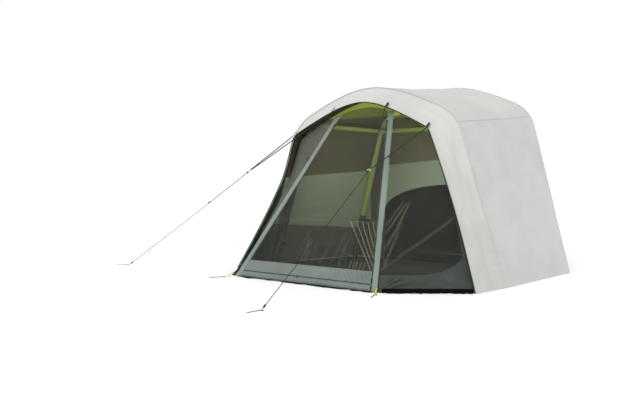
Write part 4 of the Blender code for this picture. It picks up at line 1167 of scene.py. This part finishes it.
def makeSide(word, side):
    cols, rows = 170, 225
    u = sideForm["margin"] + (1 - 2 * sideForm["margin"]) * np.linspace(0, 1, cols)[None]
    t = np.linspace(0, 1, rows)[:, None]
    v = cornerLine(u) + (sideForm["top"] - cornerLine(u)) * t
    grid = sideSurface(side, u, v)
    # The creases both raise the net and, through the crease attribute, paint it lighter: painted
    # highlight.
    crease = np.zeros(v.shape)
    size = (sideForm["wide"], frontPlane["run"])
    for start, end, width, strength in sideCreases:
        ends = [(point[0] * size[0], point[1] * size[1]) for point in (start, end)]
        crease = np.maximum(crease, strength * creaseField(
            u * np.ones_like(v) * size[0], v * size[1], *ends, width))
    pull = np.sin((v * 6.5 - u * 3.2) * 2 * math.pi) * smoothStep(u, 0.05, 0.4)
    bulge = np.sin(math.pi * u) * np.sin(math.pi * t)
    out = (-sideForm["sag"] * bulge + 0.006 * crease * np.sin(math.pi * np.clip(u, 0, 1)) ** 0.3
           + 0.0022 * pull * bulge + 0.003 * smoothNoise(v.shape, (8, 5), 91) * bulge)
    net = puff(grid, out)
    # The left side hangs slacker, so its net is gathered and lets less through; its much lighter
    # colour is painted sheen, for the light a net scatters when seen at a grazing angle.
    obj = shell(word + "_side_net", net, slackNetPaintedSheen if side < 0 else sideNet, thickness=0.0010,
                values={"crease": np.clip(crease, 0, 1)})
    finishPiece(obj, "shelter", "insect_mesh", word + "_side_mesh")
    rows = 34
    t = np.linspace(0, 1, rows)[:, None]
    low = frontPlane["clear"] / frontPlane["run"]
    v = low + (cornerLine(u) + 0.0015 - low) * t
    grid = sideSurface(side, u, v)
    fan = np.arctan2(v * 2.17, u * 0.95 + 0.02)
    folds = np.sin(fan * 26 + 2 * smoothNoise((rows, cols), (2, 6), 17))
    out = (0.0105 * folds * smoothStep(u, 0.02, 0.2) * (1 - smoothStep(u, 0.75, 1.0))
           * np.sin(math.pi * np.clip(t * 0.92 + 0.04, 0, 1)))
    corner = puff(grid, out)
    # The corner panel takes the darker copy of the grey-green cloth: painted shade.
    obj = shell(word + "_corner_cloth", corner, shadedCornerCloth, thickness=0.0014)
    finishPiece(obj, "shelter", "grey_green_cloth", word + "_corner_panel")
    v = np.linspace(low, sideForm["top"], 160)[:, None]
    near = sideSurface(side, np.full_like(v, 0.5), v)
    far = sideSurface(side, np.ones_like(v), v)
    wideEnd = sideForm["edge"] if side > 0 else 1.6 * sideForm["slim"]
    taper = wideEnd + (sideForm["slim"] - wideEnd) * smoothStep(v, 0.05, 0.55)
    wide = 1 - taper / (2 * np.linalg.norm(far - near, axis=-1, keepdims=True)[..., 0])
    us = wide + (0.999 - wide) * np.linspace(0, 1, 5)[None]
    strip = puff(sideSurface(side, us, v * np.ones_like(us)), np.full((160, 5), 0.004))
    obj = shell(word + "_side_binding", strip, edgeCloth, thickness=0.0010)
    finishPiece(obj, "shelter", "grey_green_cloth")
    seam = puff(grid, out + 0.0025)[-1]
    normals = surfaceNormals(grid)[-1]
    bayStitches(word + "_corner_stitches", "shelter",
                *besides(seam[4:-4], normals[4:-4], stitchForm["pitch"]))


flapForm = {"rise": 0.042, "frontRise": 0.006, "reach": 0.035, "trim": 0.045, "end": 0.010}


def groundFlap(name, start, end, seed, rise):
    # Black ground flap: down the foot of the wall, then out over the ground in loose waves.
    start, end = np.array(start), np.array(end)
    along = unit(end - start)
    out = np.array([along[1], -along[0], 0.0])
    if out @ (start - roomCentre) < 0:
        out = -out
    cols, rows = 200, 16
    s = np.linspace(0, 1, cols)[None]
    t = np.linspace(0, 1, rows)[:, None]
    wave = smoothNoise((rows, cols), (1, 26), seed)
    reach = 0.010 + 0.006 * t + (flapForm["reach"] - 0.012) * smoothStep(t, 0.45, 1.0) ** 1.3
    reach = reach + 0.022 * wave * smoothStep(t, 0.3, 1.0)
    height = rise * (1 - smoothStep(t, 0.0, 0.85)) + 0.0035
    height = height + 0.004 * np.abs(smoothNoise((rows, cols), (2, 34), seed + 1)) * smoothStep(
        t, 0.5, 1.0)
    base = start + (end - start) * s[..., None]
    grid = base + out * reach[..., None] + np.array([0, 0, 1.0]) * height[..., None]
    obj = shell(name + "_cloth", grid, groundCloth, thickness=0.0014)
    finishPiece(obj, "shelter", "black_webbing", name)


makeSide("left", -1)
makeSide("right", 1)
half = frontPlane["half"]
groundFlap("front_ground_flap", (-half + flapForm["trim"], frontPlane["y"], 0.0),
           (half - flapForm["trim"], frontPlane["y"], 0.0), 61, flapForm["frontRise"])
for word, side in (("left", -1), ("right", 1)):
    start = np.array([side * half, frontPlane["y"], 0.0])
    end = sideSurface(side, np.array(1.0), np.array(0.0))
    run = unit(end - start)
    groundFlap(word + "_ground_flap", start + run * flapForm["trim"], end - run * flapForm["end"],
               67 + side, flapForm["rise"])
print("sides ready")

# Toggles' loops and the finish of the CAD pieces.
sided = {  # nodes that come left and right, by finish
    limeNylon: ["guy_ring", "corner_ring"], limeWebbing: ["corner_loop"],
    pegSteel: ["guy_peg", "corner_peg"], blackWebbing: ["upper_tab", "shoulder_tab"],
    blackNylon: ["tensioner", "zip_slider", "zip_pull", "upper_toggle", "lower_toggle"],
}
nodeFinish = [(finish, f"{word}_{name}") for finish, names in sided.items() for name in names
              for word in ("left", "right")]
nodeFinish += [(blackNylon, name) for name in (
    "sill_zip_slider", "sill_zip_pull", "front_beam_valve", "rear_beam_valve",
    "front_beam_valve_cap", "rear_beam_valve_cap")]
for finish, name in nodeFinish:
    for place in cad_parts[name].material_slots:
        place.material = finish

toggleLoop = {"radius": 0.0022, "slopes": {"upper": 1.570, "lower": 0.634}}


def makeToggleLoop(word, height, side):  # an elastic loop from the band round the toggle
    up = toggleLoop["slopes"][height]
    turn = np.linspace(-0.5 * math.pi, 0.5 * math.pi, 24)
    x = bandEdge(up) - 0.004 + 0.026 * np.cos(turn)
    path = frontPoint(side * x, up + 0.007 * np.sin(turn), 0.004 + 0.018 * np.cos(turn))
    obj = sweep(f"{word}_{height}_toggle_loop", path, toggleLoop["radius"], [darkCord], sides=8,
                reference=slope)
    finishPiece(obj, "shelter", "black_webbing")


for word, side in (("left", -1), ("right", 1)):
    for height in ("upper", "lower"):
        makeToggleLoop(word, height, side)
print("fittings ready")

# Floor, light and sky.
floorMaterial, _, floorShader = newMaterial("paleFloor", Roughness=0.9)
floorShader.inputs["Base Color"].default_value = toLinear("#f7f7f7")
reach = 40.0
floorMesh = bpy.data.meshes.new("floor")
floorMesh.from_pydata([(-reach, -reach, -0.0005), (reach, -reach, -0.0005),
                       (reach, reach, -0.0005), (-reach, reach, -0.0005)], [], [(0, 1, 2, 3)])
floor = addObject("floor", floorMesh, [floorMaterial])

light = {"sky": 1.0, "sun": 1.7, "sunFrom": (1.5, -6.0, 2.8), "sunSpread": 35,
         "inner": 26.0, "innerPlace": (0.2, 0.1, 1.30), "innerSize": 0.7}
world = bpy.data.worlds.new("sky")
bpy.context.scene.world = world
world.use_nodes = True
world.node_tree.nodes["Background"].inputs["Color"].default_value = (1, 1, 1, 1)
world.node_tree.nodes["Background"].inputs["Strength"].default_value = light["sky"]


def addLamp(name, kind, place, target, power, **values):
    lamp = bpy.data.lights.new(name, kind)
    lamp.energy = power
    for key, value in values.items():
        setattr(lamp, key, value)
    obj = bpy.data.objects.new(name, lamp)
    obj.location = place
    obj.rotation_euler = (Vector(target) - Vector(place)).to_track_quat("-Z", "Y").to_euler()
    obj.visible_camera = False
    bpy.context.scene.collection.objects.link(obj)


addLamp("sun", "SUN", light["sunFrom"], (0.0, 0.0, 0.0), light["sun"],
        angle=math.radians(light["sunSpread"]))
addLamp("inner", "AREA", light["innerPlace"], (-0.4, 2.4, 0.8), light["inner"],
        size=light["innerSize"])
bpy.context.scene.view_settings.view_transform = "Standard"
print("stage ready")
